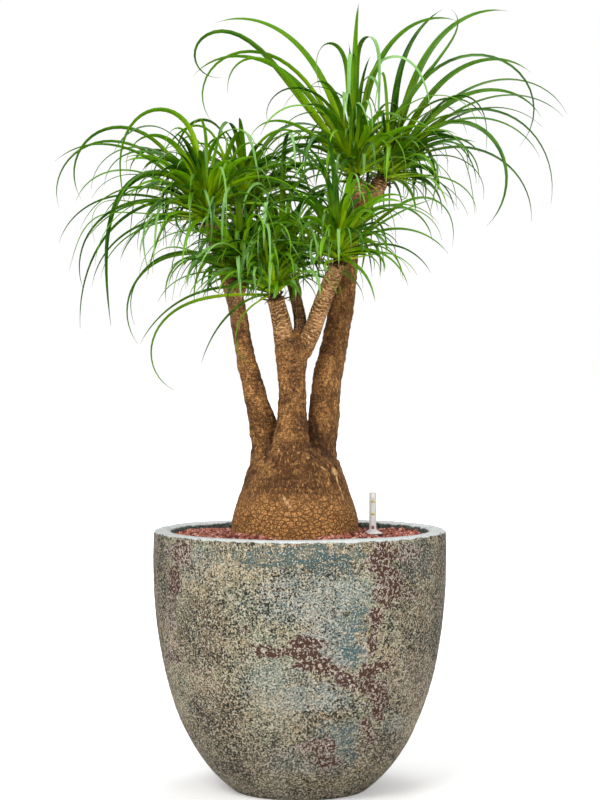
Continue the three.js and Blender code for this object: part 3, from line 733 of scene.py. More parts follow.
def glaze_material(planter):
    material, graph, shader = new_material("rough_glaze", IOR=1.5, Specular_IOR_Level=0.35)
    place = graph.place()
    haze, olive, teal, rust = (
        graph.most(patches(graph, place, rows, wander, spread), behind(graph, place, *clouds))
        for rows, wander, spread, *clouds in FIELDS)
    grain = graph.noise(place, 620.0, 3.0, 0.7)
    now, pooled, glassy, edge = glaze_flow(graph, place, planter, grain, haze, olive, teal)
    calm, pits, holes, crumbs = glaze_crust(graph, place, pooled, glassy, edge)
    flakes = graph.noise(graph.mapped(place, at=(1.3, 0.2, 0.7)), 240.0, 3.0, 0.65)
    eaten = graph.plus(flakes, graph.step(rust, 0.0, 1.0, -0.26, 0.07))
    worn = graph.step(eaten, 0.50, 0.525)
    fringe = graph.minus(graph.step(eaten, 0.445, 0.475), worn)
    bright = graph.times(fringe, graph.step(grain, 0.40, 0.52, 0.25, 1.0))
    # the inside is partly dark glaze and partly painted shade
    inside, inside_glaze_and_shade = glaze_inside(graph, place, planter, flakes, crumbs)
    # the lip's pale colour is partly glaze and partly a painted highlight
    rim, pale = glaze_lip(graph, place, planter, grain, pits)
    for mask, strength, tone in (
            (crumbs, 0.66, planter.cream), (pits, 0.95, planter.pit), (holes, 0.9, planter.pit),
            (worn, 0.94, planter.rust), (bright, graph.step(rust, 0.35, 0.75, 0.2, 1.0), planter.fringe),
            (inside, 0.92, inside_glaze_and_shade), (rim, 0.94, pale)):
        now = graph.mix(graph.times(mask, strength), now, tone)
    graph.feed(shader.inputs["Base Color"], now)
    graph.feed(shader.inputs["Roughness"], graph.step(calm, 0.0, 1.0, 0.72, 0.42))
    relief = graph.minus(graph.times(crumbs, 0.55), graph.most(pits, holes))
    relief = graph.minus(relief, graph.times(worn, 0.8))
    bumped(graph, shader, graph.times(relief, graph.step(rim, 1.0, 0.0, 0.25, 1.0)), 0.8, 0.0011)
    return material


def build_planter(planter):
    bm = turned(planter_profile(planter), PLANTER_STEPS)
    roughen_planter(bm, planter)
    mesh = mesh_of("planter_glazed", bm)
    piece = new_piece("planter_glazed", mesh, PLANT, "glaze", glaze_material(planter))
    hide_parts("planter")


# ---- Granules ----

GRANULE_TOP = 0.372
GRANULE_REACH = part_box("top_dressing")[1].x
CAUDEX_X, CAUDEX_Y = -0.007, -0.030
CAUDEX_REACH = 0.092
GAUGE_LOW, GAUGE_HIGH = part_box("gauge_tube")
GAUGE_CENTRE = (GAUGE_LOW + GAUGE_HIGH) / 2
COLLAR_REACH = GAUGE_HIGH.x - GAUGE_CENTRE.x
GAUGE_GAP = 0.0022  # between the gauge's collar and the nearest granules' middles
PRESSED_DEPTH = 0.0045  # how far the granules in front of the gauge lie lower
JITTER = 0.7  # how far a granule strays from its row, as a share of the spacing
SINK = 0.0018  # how far a granule sinks into the layer at most
BED_RINGS = 26
BED_STEPS = 140
BED_DEPTH = 0.010
BED_SUNK = 0.0034  # how far the bed lies below the layer's face, under the loose granules
BED_SHADE_TONE = 0.15  # a dark tone of painted shade, because the bed shows only between the granules
BATCH = 220  # granules made at a time


def granule_material(granules):
    material, graph, shader = new_material("fired_clay_granules", Roughness=0.85, IOR=1.45)
    tone = graph.attribute("tone")
    cloud = mottled(graph, 60.0, 500.0)
    body = graph.mix(graph.step(tone, 0.1, 0.6), granules.dark, granules.clay)
    body = graph.mix(graph.step(tone, 0.66, 1.0), body, granules.pale)
    body = graph.mix(graph.times(cloud, 0.35), body, granules.dark)
    holes = graph.grouped(speckle_group(), Place=graph.place(), Scale=1300.0, Cover=0.3)
    body = graph.mix(graph.times(holes, 0.35), body, granules.dark)
    graph.feed(shader.inputs["Base Color"], body)
    bumped(graph, shader, graph.minus(cloud, holes), 0.6, 0.0005)
    return material


def granule_ground():
    """The layer of granules in the frame, as a tree that finds its upper face."""
    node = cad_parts["top_dressing"]
    bm = bmesh.new()
    bm.from_mesh(node.data)
    bm.transform(node.matrix_world)
    tree = bvhtree.BVHTree.FromBMesh(bm)
    bm.free()
    return tree


def granule_level(ground, x, y):
    """Height of the layer's upper face, or of its nearest edge where it is cut out."""
    hit, normal = ground.ray_cast(Vector((x, y, PLANTER_HEIGHT * 2)), Vector((0.0, 0.0, -1.0)))[:2]
    if hit is None or normal.z < 0.5:
        hit = ground.find_nearest(Vector((x, y, PLANTER_HEIGHT)))[0]
    before = GAUGE_CENTRE.y - y
    across = smooth(0.030, 0.018, abs(x - GAUGE_CENTRE.x))
    along = smooth(-0.018, 0.004, before) * smooth(0.080, 0.030, before)
    return hit.z - PRESSED_DEPTH * across * along


def granule_places(granules, ground, draw):
    """Jittered rows of places for granules, clear of the wall, the plant and the gauge."""
    places = []
    row_step = granules.spacing * math.sqrt(0.75)
    rows = int(GRANULE_REACH / row_step)
    for row in range(-rows, rows + 1):
        for column in range(-rows, rows + 1):
            x = (column + row % 2 / 2 + (next(draw) - 0.5) * JITTER) * granules.spacing
            y = row * row_step + (next(draw) - 0.5) * JITTER * granules.spacing
            lift = next(draw)
            inside = math.hypot(x, y) < GRANULE_REACH - granules.size * 0.35
            beside_plant = math.hypot(x - CAUDEX_X, y - CAUDEX_Y) > CAUDEX_REACH
            from_gauge = math.hypot(x - GAUGE_CENTRE.x, y - GAUGE_CENTRE.y)
            if inside and beside_plant and from_gauge > COLLAR_REACH + GAUGE_GAP:
                places.append(Vector((x, y, granule_level(ground, x, y) - SINK + SINK * lift)))
    return places


def granule_batch(places, granules, draw, target, tones):
    """Adds one batch of crushed-clay lumps to the target mesh."""
    bm = bmesh.new()
    for place in places:
        axis = Vector((next(draw) - 0.5, next(draw) - 0.5, next(draw) - 0.5)).normalized()
        turn = Quaternion(axis, next(draw) * 6.28)
        width = granules.size / 2 * (0.72 + 0.6 * next(draw))
        sizes = Vector((width, width * (0.7 + 0.3 * next(draw)), width * (0.55 + 0.3 * next(draw))))
        matrix = Matrix.LocRotScale(place, turn, sizes)
        made = bmesh.ops.create_icosphere(bm, subdivisions=1, radius=1.0, matrix=matrix)
        tone = next(draw)
        for vert in made["verts"]:
            vert.co += (vert.co - place) * 0.45 * (next(draw) - 0.5)
            tones.append(tone)
    poured(target, bm)


def granule_bed(ground, material):
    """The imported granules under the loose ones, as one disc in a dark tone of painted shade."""
    profile = [(GRANULE_REACH * ring / BED_RINGS, GRANULE_TOP) for ring in range(BED_RINGS + 1)]
    profile.extend([(GRANULE_REACH, GRANULE_TOP - BED_DEPTH), (0.0, GRANULE_TOP - BED_DEPTH)])
    bm = turned(profile, BED_STEPS)
    for vert in bm.verts:
        if vert.co.z > GRANULE_TOP - BED_DEPTH / 2:
            level = granule_level(ground, vert.co.x, vert.co.y)
            vert.co.z = level - BED_SUNK + 0.0011 * noise.noise(vert.co * 190.0)
    mesh = mesh_of("granule_bed", bm)
    set_values(mesh, "tone", [BED_SHADE_TONE] * len(mesh.vertices))
    bed = new_piece("granule_bed", mesh, PLANT, "granules", material)
    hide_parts("top_dressing")


def build_granules(granules):
    material = granule_material(granules)
    ground = granule_ground()
    granule_bed(ground, material)
    draw = draws_from(granules.seed)
    places = granule_places(granules, ground, draw)
    for name, side in (("granules_front", [place for place in places if place.y < 0]),
                       ("granules_back", [place for place in places if place.y >= 0])):
        target = bmesh.new()
        tones = []
        for first in range(0, len(side), BATCH):
            granule_batch(side[first:first + BATCH], granules, draw, target, tones)
        mesh = mesh_of(name, target, shaded_smooth=False)
        set_values(mesh, "tone", tones)
        new_piece(name, mesh, PLANT, "granules", material)


# ---- Trunk ----

# Height and radius of the swollen base, in millimetres.
CAUDEX_PROFILE = [
    (300, 77), (320, 87), (345, 92), (372, 93.5), (396, 91.5), (411, 88.6), (425, 84), (440, 78.5),
    (455, 74), (469, 69), (482, 62), (493, 52), (503, 41), (510, 24),
]
CAUDEX_SIDES = 72

# Centre line and radius of each limb, as [x, y, z, radius] in millimetres.
LIMBS = {
    "stem_left": [
        (-34, -24, 446, 42), (-42, -20, 480, 32.5), (-46, -18, 505, 24), (-52, -18, 527, 21.4),
        (-56.5, -19, 545, 19.4), (-63.5, -18, 571, 16.6), (-78.5, -14, 630, 14), (-89, -12, 690, 13.4),
        (-95, -12, 718, 13), (-107, -14, 758, 12.6), (-121, -20, 800, 12), (-132, -26, 832, 11.5)],
    "branch_left_back": [
        (-97, -12, 722, 10), (-94, 18, 760, 10.6), (-88, 46, 806, 10.8), (-86, 58, 850, 11)],
    "branch_left_front": [
        (-93, -12, 706, 9), (-90, -36, 724, 9.2), (-85, -46, 738, 9.8), (-84, -49, 750, 10.4)],
    "stem_middle": [
        (-6, -44, 440, 56), (-9, -53, 470, 49), (-12, -56, 485, 41), (-13, -56, 497, 34),
        (-12.5, -54, 508, 28), (-12, -52, 522, 24.4), (-11.5, -51, 540, 22), (-11, -50, 571, 20.2),
        (-12, -49, 605, 20.4), (-12, -48, 636, 23), (-9, -48, 662, 20)],
    "branch_middle_left": [
        (-20, -50, 640, 15), (-26, -54, 680, 14.2), (-32, -58, 706, 12.8), (-35, -62, 719, 13.4)],
    "branch_middle_back": [
        (-4, -44, 650, 13), (1, -38, 680, 9.6), (-5, -28, 716, 9), (-13, -14, 752, 9),
        (-18, -6, 768, 9.6)],
    "branch_middle_right": [
        (2, -48, 640, 14), (17, -52, 668, 12.6), (28.5, -58, 702, 12.6), (42, -66, 736, 12.4),
        (50.5, -71, 756, 12.2), (52, -73, 768, 12)],
    "stem_right": [
        (18, -22, 446, 47), (25, -13, 480, 32), (29.5, -11, 505, 24.6), (33.5, -11, 530, 23.2),
        (37, -11, 571, 22.4), (41, -6, 602, 21), (47, 2, 632, 20.4), (54.5, 10, 668, 18.8),
        (61.5, 18, 705, 18.4), (66, 26, 742, 18), (70, 32, 780, 16.5), (76, 36, 824, 16),
        (88, 38, 862, 18.5), (93, 38, 880, 17)],
    "branch_right_up": [(88, 36, 858, 14), (85, 30, 878, 13.4), (83, 24, 896, 13.4)],
    "branch_right_out": [(94, 40, 862, 14), (110, 46, 878, 13), (121, 50, 896, 13)],
}
LIMB_SIDES = 28
LIMB_PARTS = 7  # points of the curve between two rows
NEVER = 9999
RINGED_FROM = {"stem_left": 700, "stem_middle": NEVER, "stem_right": 800}  # heights in millimetres
SMOOTHINGS = 6
BARK_VALUES = ("swollen", "ringed", "run", "scar", "dark")
BARK_SIZES = ((28.0, 0.9), (70.0, 0.5), (190.0, 0.42))  # (waves to a metre, share) of the bark's lumps
BASE_ENDS = (446, 486)  # heights in millimetres between which the base's bark gives way to the stems'
UPPER_ENDS = (0.418, 0.446)  # heights between which its plates give way to weathered bark
SHADE_ENDS = (0.120, 0.050)  # run of the branch at the back between which the painted shade at its foot fades
STEM_REACH = 0.020  # radius of the right-hand stem, whose right side is a column of loose plates

# Pale scars where bark came off, seen from the front, as (x, z, half width, half height, turn in
# degrees) in millimetres.
SCARS = [
    (-22, 432, 2.0, 4.6, -30), (-18, 426, 2.6, 5, -40), (-14, 421, 2.6, 2.6, -60),
    (50, 468, 3.0, 8, -25), (54, 457, 1.5, 8, -14), (58, 444, 1.2, 8, -20), (62, 431, 1.3, 5, -10),
    (12, 489, 2.2, 1.6, 0), (33, 474, 4.5, 1.3, 35), (-2, 496, 1.8, 1.4, 0), (-30, 500, 1.6, 1.4, 0),
]
# Hollows between the roots of the stems, pressed in and darkened with painted shade, as (x, y, z, reach)
# in millimetres.
HOLLOWS = [
    (15, -36, 540, 11), (19, -37, 528, 14), (24, -39, 516, 17), (28, -42, 504, 19), (34, -46, 492, 17),
    (40, -50, 480, 14), (47, -52, 470, 12), (52, -50, 460, 9), (-33, -34, 532, 8), (-38, -37, 521, 11),
    (-43, -41, 510, 12), (-50, -46, 499, 10), (-8, -30, 668, 16), (2, -40, 668, 12), (-8, -86, 656, 22),
]
CREASES = (448, 441, 459)  # heights of the wrinkles round the swollen base, pressed in and darkened with painted shade
# Where the swollen base sinks in between the stems: (direction in degrees, share of the radius).
VALLEYS = ((-40, 0.12), (-140, 0.1), (90, 0.15))


def limb_curve(rows):
    """Points and radii on a smooth curve through the rows, in metres."""
    rows = [tuple(value * MM for value in row) for row in rows]
    padded = [tuple(2 * a - b for a, b in zip(rows[0], rows[1]))] + rows
    padded.append(tuple(2 * a - b for a, b in zip(rows[-1], rows[-2])))
    curve = []
    for before, start, end, after in zip(padded, padded[1:], padded[2:], padded[3:]):
        for part in range(LIMB_PARTS):
            t = part / LIMB_PARTS
            curve.append([0.5 * (
                2 * b + (c - a) * t + (2 * a - 5 * b + 4 * c - d) * t * t
                + (3 * b - a - 3 * c + d) * t ** 3) for a, b, c, d in zip(before, start, end, after)])
    curve.append(list(rows[-1]))
    return [(Vector(row[:3]), row[3]) for row in curve]


def lofted(bm, rings):
    """Adds a closed tube through rings given as (centre, heading, radius, sides)."""
    loops = []
    for centre, heading, radius, sides in rings:
        turn = Vector((0, 0, 1)).rotation_difference(heading).to_matrix().to_4x4()
        made = bmesh.ops.create_circle(
            bm, cap_ends=not loops, segments=sides, radius=radius,
            matrix=Matrix.Translation(centre) @ turn)
        loops.append({edge for vert in made["verts"] for edge in vert.link_edges})
    for lower, upper in zip(loops, loops[1:]):
        bmesh.ops.bridge_loops(bm, edges=list(lower | upper))
    bmesh.ops.contextual_create(bm, geom=list(loops[-1]))


def swollen_base():
    """The swollen base, sunk in between the stems."""
    bm = bmesh.new()
    centre = Vector((CAUDEX_X, CAUDEX_Y, 0))
    lofted(bm, [
        (centre + Vector((0, 0, z * MM)), Vector((0, 0, 1)), radius * MM, CAUDEX_SIDES)
        for z, radius in CAUDEX_PROFILE])
    for vert in bm.verts:
        away = vert.co - centre
        angle = math.degrees(math.atan2(away.y, away.x))
        valleys = sum(math.exp(-((angle - turn) / 16) ** 2) * depth for turn, depth in VALLEYS)
        vert.co.xy -= away.xy * valleys * smooth(0.462, 0.505, vert.co.z)
    return bm


def limb_rings(name, rows):
    """The rings of a limb's tube, and its centre points with their heading and run from its start."""
    curve = limb_curve(rows)
    rings = []
    marks = []
    run = 0.0
    for row, (point, radius) in enumerate(curve):
        ahead = curve[min(row + 1, len(curve) - 1)][0]
        before = curve[max(row - 1, 0)][0]
        heading = (ahead - before).normalized()
        rings.append((point, heading, radius, LIMB_SIDES))
        marks.append((point, heading, name, run))
        run += (ahead - point).length
    return rings, marks


def trunk_core():
    """The swollen base and all limbs as one mesh of overlapping tubes, and the limbs' centre points."""
    solids = [swollen_base()]
    marks = []
    for name, rows in LIMBS.items():
        rings, found = limb_rings(name, rows)
        solids.append(bmesh.new())
        lofted(solids[-1], rings)
        marks.extend(found)
    whole = bmesh.new()
    for solid in solids:
        bmesh.ops.recalc_face_normals(solid, faces=solid.faces)
        poured(whole, solid)
    return whole, marks


def fused(bm, voxel):
    """One skin round overlapping solids, as a bmesh."""
    mesh = bpy.data.meshes.new("core")
    bm.to_mesh(mesh)
    bm.free()
    scrap = bpy.data.objects.new("core", mesh)
    bpy.context.scene.collection.objects.link(scrap)
    skin = scrap.modifiers.new("skin", "REMESH")
    skin.mode = "VOXEL"
    skin.voxel_size = voxel
    graph = bpy.context.evaluated_depsgraph_get()
    made = scrap.evaluated_get(graph).to_mesh()
    result = bmesh.new()
    result.from_mesh(made)
    bpy.data.objects.remove(scrap)
    bpy.data.meshes.remove(mesh)
    return result


def oval(place, x, z, half_width, half_height, turn):
    """1 in the middle of an oval seen from the front, falling to 0 at its edge."""
    if place.y > -0.02:
        return 0.0
    angle = math.radians(turn)
    dx, dz = place.x / MM - x, place.z / MM - z
    across = dx * math.cos(angle) - dz * math.sin(angle)
    along = dx * math.sin(angle) + dz * math.cos(angle)
    return 1 - smooth(0.5, 1.1, math.hypot(across / half_width, along / half_height))


def crease_at(place):
    """1 along the wrinkles across the swollen base, which fade towards its sides."""
    level = place.z / MM - 6 * noise.noise(place * 22.0)
    lines = sum(math.exp(-((level - crease) / 1.7) ** 2) for crease in CREASES)
    return lines * smooth(-0.1, 0.3, noise.noise(place * 12.0)) * smooth(58, 40, abs(place.x / MM + 8))


def hollow_at(place):
    """1 in the hollows, which have ragged edges; there the bark is pressed in and gets painted shade."""
    ragged = 0.5 * noise.noise(place * 60.0)
    here = place / MM
    return max(
        1 - smooth(0.35, 1.15, (here - Vector(row[:3])).length / row[3] + ragged) for row in HOLLOWS)


def bark_rise(place, run, swollen):
    """How far the bark stands out at a place, as a share of its lumps' height."""
    height = place.z / MM
    flaky = noise.noise(Vector((place.x * 150, place.y * 150, place.z * 55)))
    flaky = max(flaky, -0.1) * 1.5 * smooth(430, 470, height) * (1 - 0.45 * smooth(520, 560, height))
    band = math.sin(run / MM * 0.5 + 3.0 * noise.noise(place * 40.0)) * 0.16 * (1 - swollen)
    return noise_sum(place, *BARK_SIZES) + band + flaky


def press_bark(bm, bark, marks):
    """Moves the skin in and out as bark does, and returns each vertex's values for the material."""
    tree = kdtree.KDTree(len(marks))
    for row, mark in enumerate(marks):
        tree.insert(mark[0], row)
    tree.balance()
    bm.normal_update()
    moves = []
    values = []
    for vert in bm.verts:
        place = vert.co.copy()
        point, heading, name, run = marks[tree.find(place)[1]]
        run += (place - point).dot(heading)
        height = place.z / MM
        swollen = 1 - smooth(*BASE_ENDS, height + 14 * noise.noise(place * 20.0))
        if name.startswith("branch"):
            ringed = smooth(0.002, 0.03, run)
        else:
            ringed = smooth(-40, 60, height - RINGED_FROM[name])
        ringed *= 1 - swollen
        crease = crease_at(place)
        hollow = hollow_at(place)
        scar = max(oval(place, *row) for row in SCARS)
        move = bark_rise(place, run, swollen) * bark.lumps * lerp(lerp(1.0, 0.75, swollen), 0.4, ringed)
        move -= (1.1 * crease + 1.2 * hollow) * MM
        moves.append(vert.normal * lerp(move, move * 0.3 + 0.0005, scar))
        # dark is painted shade: in the wrinkles and the hollows, and on the branch at the back, at its
        # foot
        dark = min(1.0, 0.8 * crease + hollow)
        if name == "branch_middle_back":
            dark = max(dark, smooth(*SHADE_ENDS, run))
        if name == "stem_right":
            aside = (place.x - point.x) / STEM_REACH + 0.6 * noise.noise(place * 50.0)
            swollen = max(swollen, 0.8 * smooth(0.0, 0.4, aside))
            # on the right-hand stem, dark also gives a darker band over its column of plates, fading
            # towards its edge
            dark = max(dark, 0.4 * smooth(0.1, 0.4, aside) * smooth(1.0, 0.7, aside))
        values.append((swollen, ringed, run / bark.ring, scar, dark))
    for vert, move in zip(bm.verts, moves):
        vert.co += move
    return values


class BarkGraph(Graph):
    """Adds the patterns of bark, which all follow the same wandering place."""

    def __init__(self, tree):
        super().__init__(tree)
        wander = self.noise(self.place(), 70.0, output="Color")
        reach = self.vector("MULTIPLY", wander, (0.006, 0.006, 0.004))
        self.bent = self.vector("ADD", self.place(), reach)

    def plates(self, width, tall, crack):
        """Plates of the given size with a crack round each."""
        size = (1 / width, 1 / width, 1 / tall)
        edge = self.cells(self.mapped(self.bent, size=size), 1.0, "DISTANCE_TO_EDGE")
        return self.step(edge, 0.0, crack)

    def shares(self, width, tall):
        """One value for each plate."""
        size = (1 / width, 1 / width, 1 / tall)
        return self.cells(self.mapped(self.bent, size=size), 1.0, output="Color")

    def streaks(self, waves, squash, low, high):
        """Streaks that run up and down."""
        tall = self.mapped(self.bent, size=(1.0, 1.0, squash), at=(0.1, 0.4, 0.2))
        return self.step(self.noise(tall, waves, 4.0, 0.7), low, high)

    def lines(self, size, waves, floor):
        """Thin cracks along the contour lines of a noise."""
        wavy = self.noise(self.mapped(self.bent, size=size, at=(0.7, 0.2, 0.5)), waves, 3.0, 0.6)
        away = self.math("ABSOLUTE", self.minus(wavy, 0.5))
        return self.step(away, 0.004, 0.028, floor, 1.0)


def bark_relief(graph, bark, swollen, ringed, run, upper, fleck):
    """Height of the bark, and where on its ring of leaf scars each place lies.

    There are plates low down, cracks on the stems and rings on the branches.
    """
    plate = bark.plate
    low = graph.times(
        graph.plates(plate, plate * 0.72, 0.15), graph.plates(plate * 0.5, plate * 0.42, 0.07))
    middle = graph.times(
        graph.plates(plate * 0.55, plate * 1.1, 0.22), graph.streaks(170.0, 0.3, 0.40, 0.51))
    high = graph.times(
        graph.lines((0.30, 0.30, 1.5), 170.0, 0.40), graph.lines((1.3, 1.3, 0.35), 150.0, 0.35))
    high = graph.times(high, graph.step(fleck, 0.33, 0.43, 0.1, 1.0))
    plated = graph.blend(swollen, high, graph.blend(upper, low, middle))
    wave = graph.plus(run, graph.step(graph.noise(graph.place(), 110.0, 2.0), 0.0, 1.0, -0.9, 0.9))
    saw = graph.math("FRACT", wave)
    ring = graph.times(graph.step(saw, 0.0, 0.3, 0.35, 1.0), graph.step(saw, 1.0, 0.8, 0.4, 1.0))
    ring = graph.times(ring, graph.step(fleck, 0.34, 0.48, 0.35, 1.0))
    return graph.blend(ringed, plated, ring), saw


def bark_material(bark):
    material, graph, shader = new_material(
        "corky_bark", BarkGraph, Roughness=0.85, Specular_IOR_Level=0.25)
    place = graph.place()
    swollen, ringed, run, scar, dark = (graph.attribute(name) for name in BARK_VALUES)
    height = graph.axis(place, "Z")
    cloud = mottled(graph, 34.0, 170.0)
    grain = graph.noise(graph.mapped(place, size=(1.0, 1.0, 0.6)), 640.0, 3.0, 0.7)
    fleck = graph.noise(graph.mapped(place, at=(0.3, 0.1, 0.2)), 330.0, 3.0, 0.65)
    upper = graph.step(graph.plus(height, graph.step(cloud, 0.0, 1.0, -0.012, 0.012)), *UPPER_ENDS)
    relief, saw = bark_relief(graph, bark, swollen, ringed, run, upper, fleck)
    each = graph.shares(bark.plate, bark.plate * 0.72)
    plated = graph.step(swollen, 0.0, 1.0)

    body = graph.mix(graph.times(cloud, 0.38), bark.body, bark.ridge)
    body = graph.mix(graph.times(plated, graph.step(each, 0.55, 0.85, 0.0, 0.30)), body, bark.ridge)
    body = graph.mix(graph.times(plated, graph.step(each, 0.42, 0.15, 0.0, 0.22)), body, bark.shade)
    worn = graph.times(graph.step(swollen, 1.0, 0.0), graph.step(cloud, 0.75, 0.15, 0.34, 0.84))
    body = graph.mix(worn, body, bark.shade)
    body = graph.mix(graph.step(grain, 0.38, 0.56, 0.50, 0.0), body, bark.crack)
    body = graph.mix(graph.step(fleck, 0.56, 0.68, 0.0, 0.6), body, bark.ridge)
    weather = graph.times(upper, graph.step(height, 0.545, 0.50, 0.30, 1.0))
    shaded = graph.times(weather, graph.step(cloud, 0.85, 0.25, 0.35, 0.95))
    body = graph.mix(shaded, body, bark.shade)
    lit = graph.times(graph.streaks(260.0, 0.25, 0.54, 0.62), graph.step(weather, 0.0, 1.0, 0.15, 0.5))
    body = graph.mix(lit, body, bark.ridge)
    branched = graph.times(ringed, graph.step(cloud, 0.2, 0.6, 0.1, 0.95))
    body = graph.mix(branched, body, bark.branch)
    sunk = graph.step(relief, 0.75, 0.05, 0.0, graph.step(swollen, 0.0, 1.0, 0.80, 0.74))
    body = graph.mix(sunk, body, bark.crack)
    line = graph.times(graph.step(saw, 0.66, 0.80), graph.step(saw, 1.0, 0.92))
    line = graph.times(graph.times(line, ringed), graph.step(fleck, 0.40, 0.50, 0.15, 1.0))
    body = graph.mix(line, body, bark.scar)
    # painted shade where dark is set, in the cracks' colour and streaked, besides the right-hand stem's
    # darker band
    deep = graph.times(dark, graph.streaks(200.0, 0.35, 0.62, 0.40))
    body = graph.mix(graph.most(deep, graph.times(dark, 0.55)), body, bark.crack)
    body = graph.mix(graph.times(scar, graph.step(fleck, 0.34, 0.44)), body, bark.scar)
    graph.feed(shader.inputs["Base Color"], body)
    rise = graph.plus(graph.times(grain, 0.4), graph.times(fleck, 0.5))
    rise = graph.plus(rise, graph.times(each, 0.25))
    bumped(graph, shader, graph.plus(rise, relief), 1.0, 0.0017)
    return material


def build_trunk(bark):
    core, marks = trunk_core()
    bm = fused(core, bark.voxel)
    for _ in range(SMOOTHINGS):
        bmesh.ops.smooth_vert(
            bm, verts=bm.verts, factor=0.5, use_axis_x=True, use_axis_y=True, use_axis_z=True)
    values = press_bark(bm, bark, marks)
    mesh = mesh_of("trunk_bark", bm)
    for column, name in enumerate(BARK_VALUES):
        set_values(mesh, name, [row[column] for row in values])
    piece = new_piece("trunk_bark", mesh, PLANT, "bark", bark_material(bark))
    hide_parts("trunk")


# ---- Leaves ----

CORE_HEIGHT = 0.054  # of the shoot's tip that the leaves spring from
ROOTS_FROM, ROOTS_TO = 0.2, 0.7  # shares of it between which they spring
PATH_STEPS = 48
GOLDEN_ANGLE = 137.508
ACROSS = 4
HUSKS = 30  # dead leaf bases round the foot of each head

# Every head of leaves: its node, the limb that carries it, how far its leaves reach, how far they hang
# below its foot, its share of the fine leaves, and the leaves that stand out. Each of those is given as
# (turn about +Z from +X, rise at the root, fall at the tip, length, width, bend, place of the fold,
# roll), in degrees and millimetres.
HEADS = [
    ("head_left_outer", "stem_left", 235, 120, 1.0, [
        (188, 48, -42, 268, 9, 2, 3, 40),
        (172, 60, -118, 325, 10, 3, 0.9, 55),
        (196, 87, -105, 342, 11, 4, 0.52, 50),
        (165, 52, -108, 330, 8, 2.2, 2, 50),
        (176, 22, -72, 262, 7, 1.9, 3, 40),
        (192, 24, -110, 272, 8, 1.5, 3, 50),
        (194, 52, -97, 345, 14, 3, 0.33, 60),
        (186, 38, -92, 302, 8, 1, 1, 45),
        (170, 4, -80, 215, 7, 1.6, 3, 40)]),
    ("head_left_back", "branch_left_back", 225, 95, 1.0, [
        (150, 74, -85, 230, 12, 5, 0.7, 40),
        (20, 72, -60, 240, 11, 3, 0.8, 40)]),
    ("head_left_front", "branch_left_front", 190, 58, 1.0, [
        (178, 28, -125, 262, 8, 1.5, 3, 45),
        (203, 26, -112, 238, 8, 1.7, 3, 45),
        (250, 80, -88, 215, 13, 7, 0.55, 15)]),
    ("head_middle_left", "branch_middle_left", 190, 8, 1.0, [
        (190, 0, -150, 278, 9, 2.7, 1.3, 45),
        (178, 15, -62, 218, 8, 1.3, 3, 40),
        (215, -25, -165, 140, 8, 2, 3, 45),
        (198, 2, -72, 150, 8, 0.8, 3, 45),
        (262, 86, -86, 205, 13, 8, 0.6, 10)]),
    ("head_middle_back", "branch_middle_back", 215, 50, 1.0, [
        (285, 87, -87, 260, 13, 9, 0.72, 15),
        (120, 70, -60, 240, 12, 3, 0.8, 30)]),
    ("head_middle_right", "branch_middle_right", 195, 26, 0.8, [
        (-12, 38, -52, 175, 8, 1.5, 3, 45),
        (-8, 66, -82, 187, 9, 1.5, 3, 45),
        (8, 40, -98, 240, 9, 6, 0.75, 45),
        (-20, 36, 14, 158, 9, 2, 3, 45),
        (-25, 25, -72, 130, 7, 1.2, 3, 40),
        (-40, 0, -80, 95, 7, 1, 3, 40),
        (250, 86, 30, 170, 15, 3, 3, 10),
        (215, 84, 10, 165, 15, 3, 3, 25)]),
    ("head_right_upper", "branch_right_up", 235, 30, 0.7, [
        (185, 53, -180, 400, 14, 7, 0.92, 60),
        (176, 65, -130, 392, 10, 3, 1.2, 55),
        (192, 54, -92, 294, 12, 8, 0.84, 55),
        (-50, 88, -93, 347, 14, 14, 0.56, 0),
        (-100, 88, -88, 295, 13, 16, 0.56, 0),
        (215, 86, -108, 275, 13, 10, 0.7, 25),
        (-15, 82, -82, 290, 12, 7, 0.62, 40),
        (4, 53, 140, 286, 13, 18, 1, 50),
        (250, 89, 66, 172, 15, 3, 3, 10),
        (-70, 80, 30, 165, 14, 3, 3, 15),
        (176, 74, -20, 330, 14, 2.4, 3, 84),
        (184, 62, -50, 320, 12, 2.4, 3, 80),
        (-86, 88, 20, 262, 16, 3, 3, 0),
        (6, 82, -20, 300, 14, 2.6, 3, -82)]),
    ("head_right_outer", "branch_right_out", 250, 70, 0.5, [
        (4, 55, -62, 342, 9, 2.2, 3, 45),
        (-12, 45, -46, 324, 8, 2.2, 3, 45),
        (-6, 82, -130, 418, 10, 1.9, 1.8, 50),
        (8, 52, -98, 377, 9, 2.2, 0.9, 50),
        (-18, 50, -64, 277, 8, 1.6, 3, 45),
        (15, 45, -42, 283, 7, 2.2, 3, 40),
        (-10, 35, -92, 286, 8, 1.5, 3, 45),
        (-35, 52, -140, 350, 12, 1.6, 2, 50),
        (-60, 84, 48, 170, 15, 3, 3, 20),
        (-30, 74, 30, 180, 14, 3, 3, 30),
        (-4, 78, -10, 320, 17, 2.6, 3, 86),
        (4, 66, -40, 300, 14, 2.4, 3, 82),
        (-8, 88, 30, 270, 16, 2.6, 3, 84),
        (0, 56, -60, 290, 12, 2.2, 3, 80)]),
]
MAIN_COUNT = 26
SHOWN_TONE = 0.62  # the leaves that stand out are older and darker
CUTS = 12  # how often a leaf is made shorter before it is left out
LEAF_VALUES = ("along", "across", "tone", "under", "dry", "painted_sheen")


def leaf_of(turn, rise, fall, reach, width, bend, fold, roll, drift=0.0, dry=0.0, painted_sheen=0.0, drop=None):
    """One leaf; drift is how far it turns aside over its length, and drop how far it may hang down."""
    return {
        "turn": turn, "rise": rise, "fall": fall, "length": reach * MM, "width": width * MM, "bend": bend,
        "fold": fold, "roll": roll, "drift": drift, "dry": dry, "painted_sheen": painted_sheen, "drop": drop}


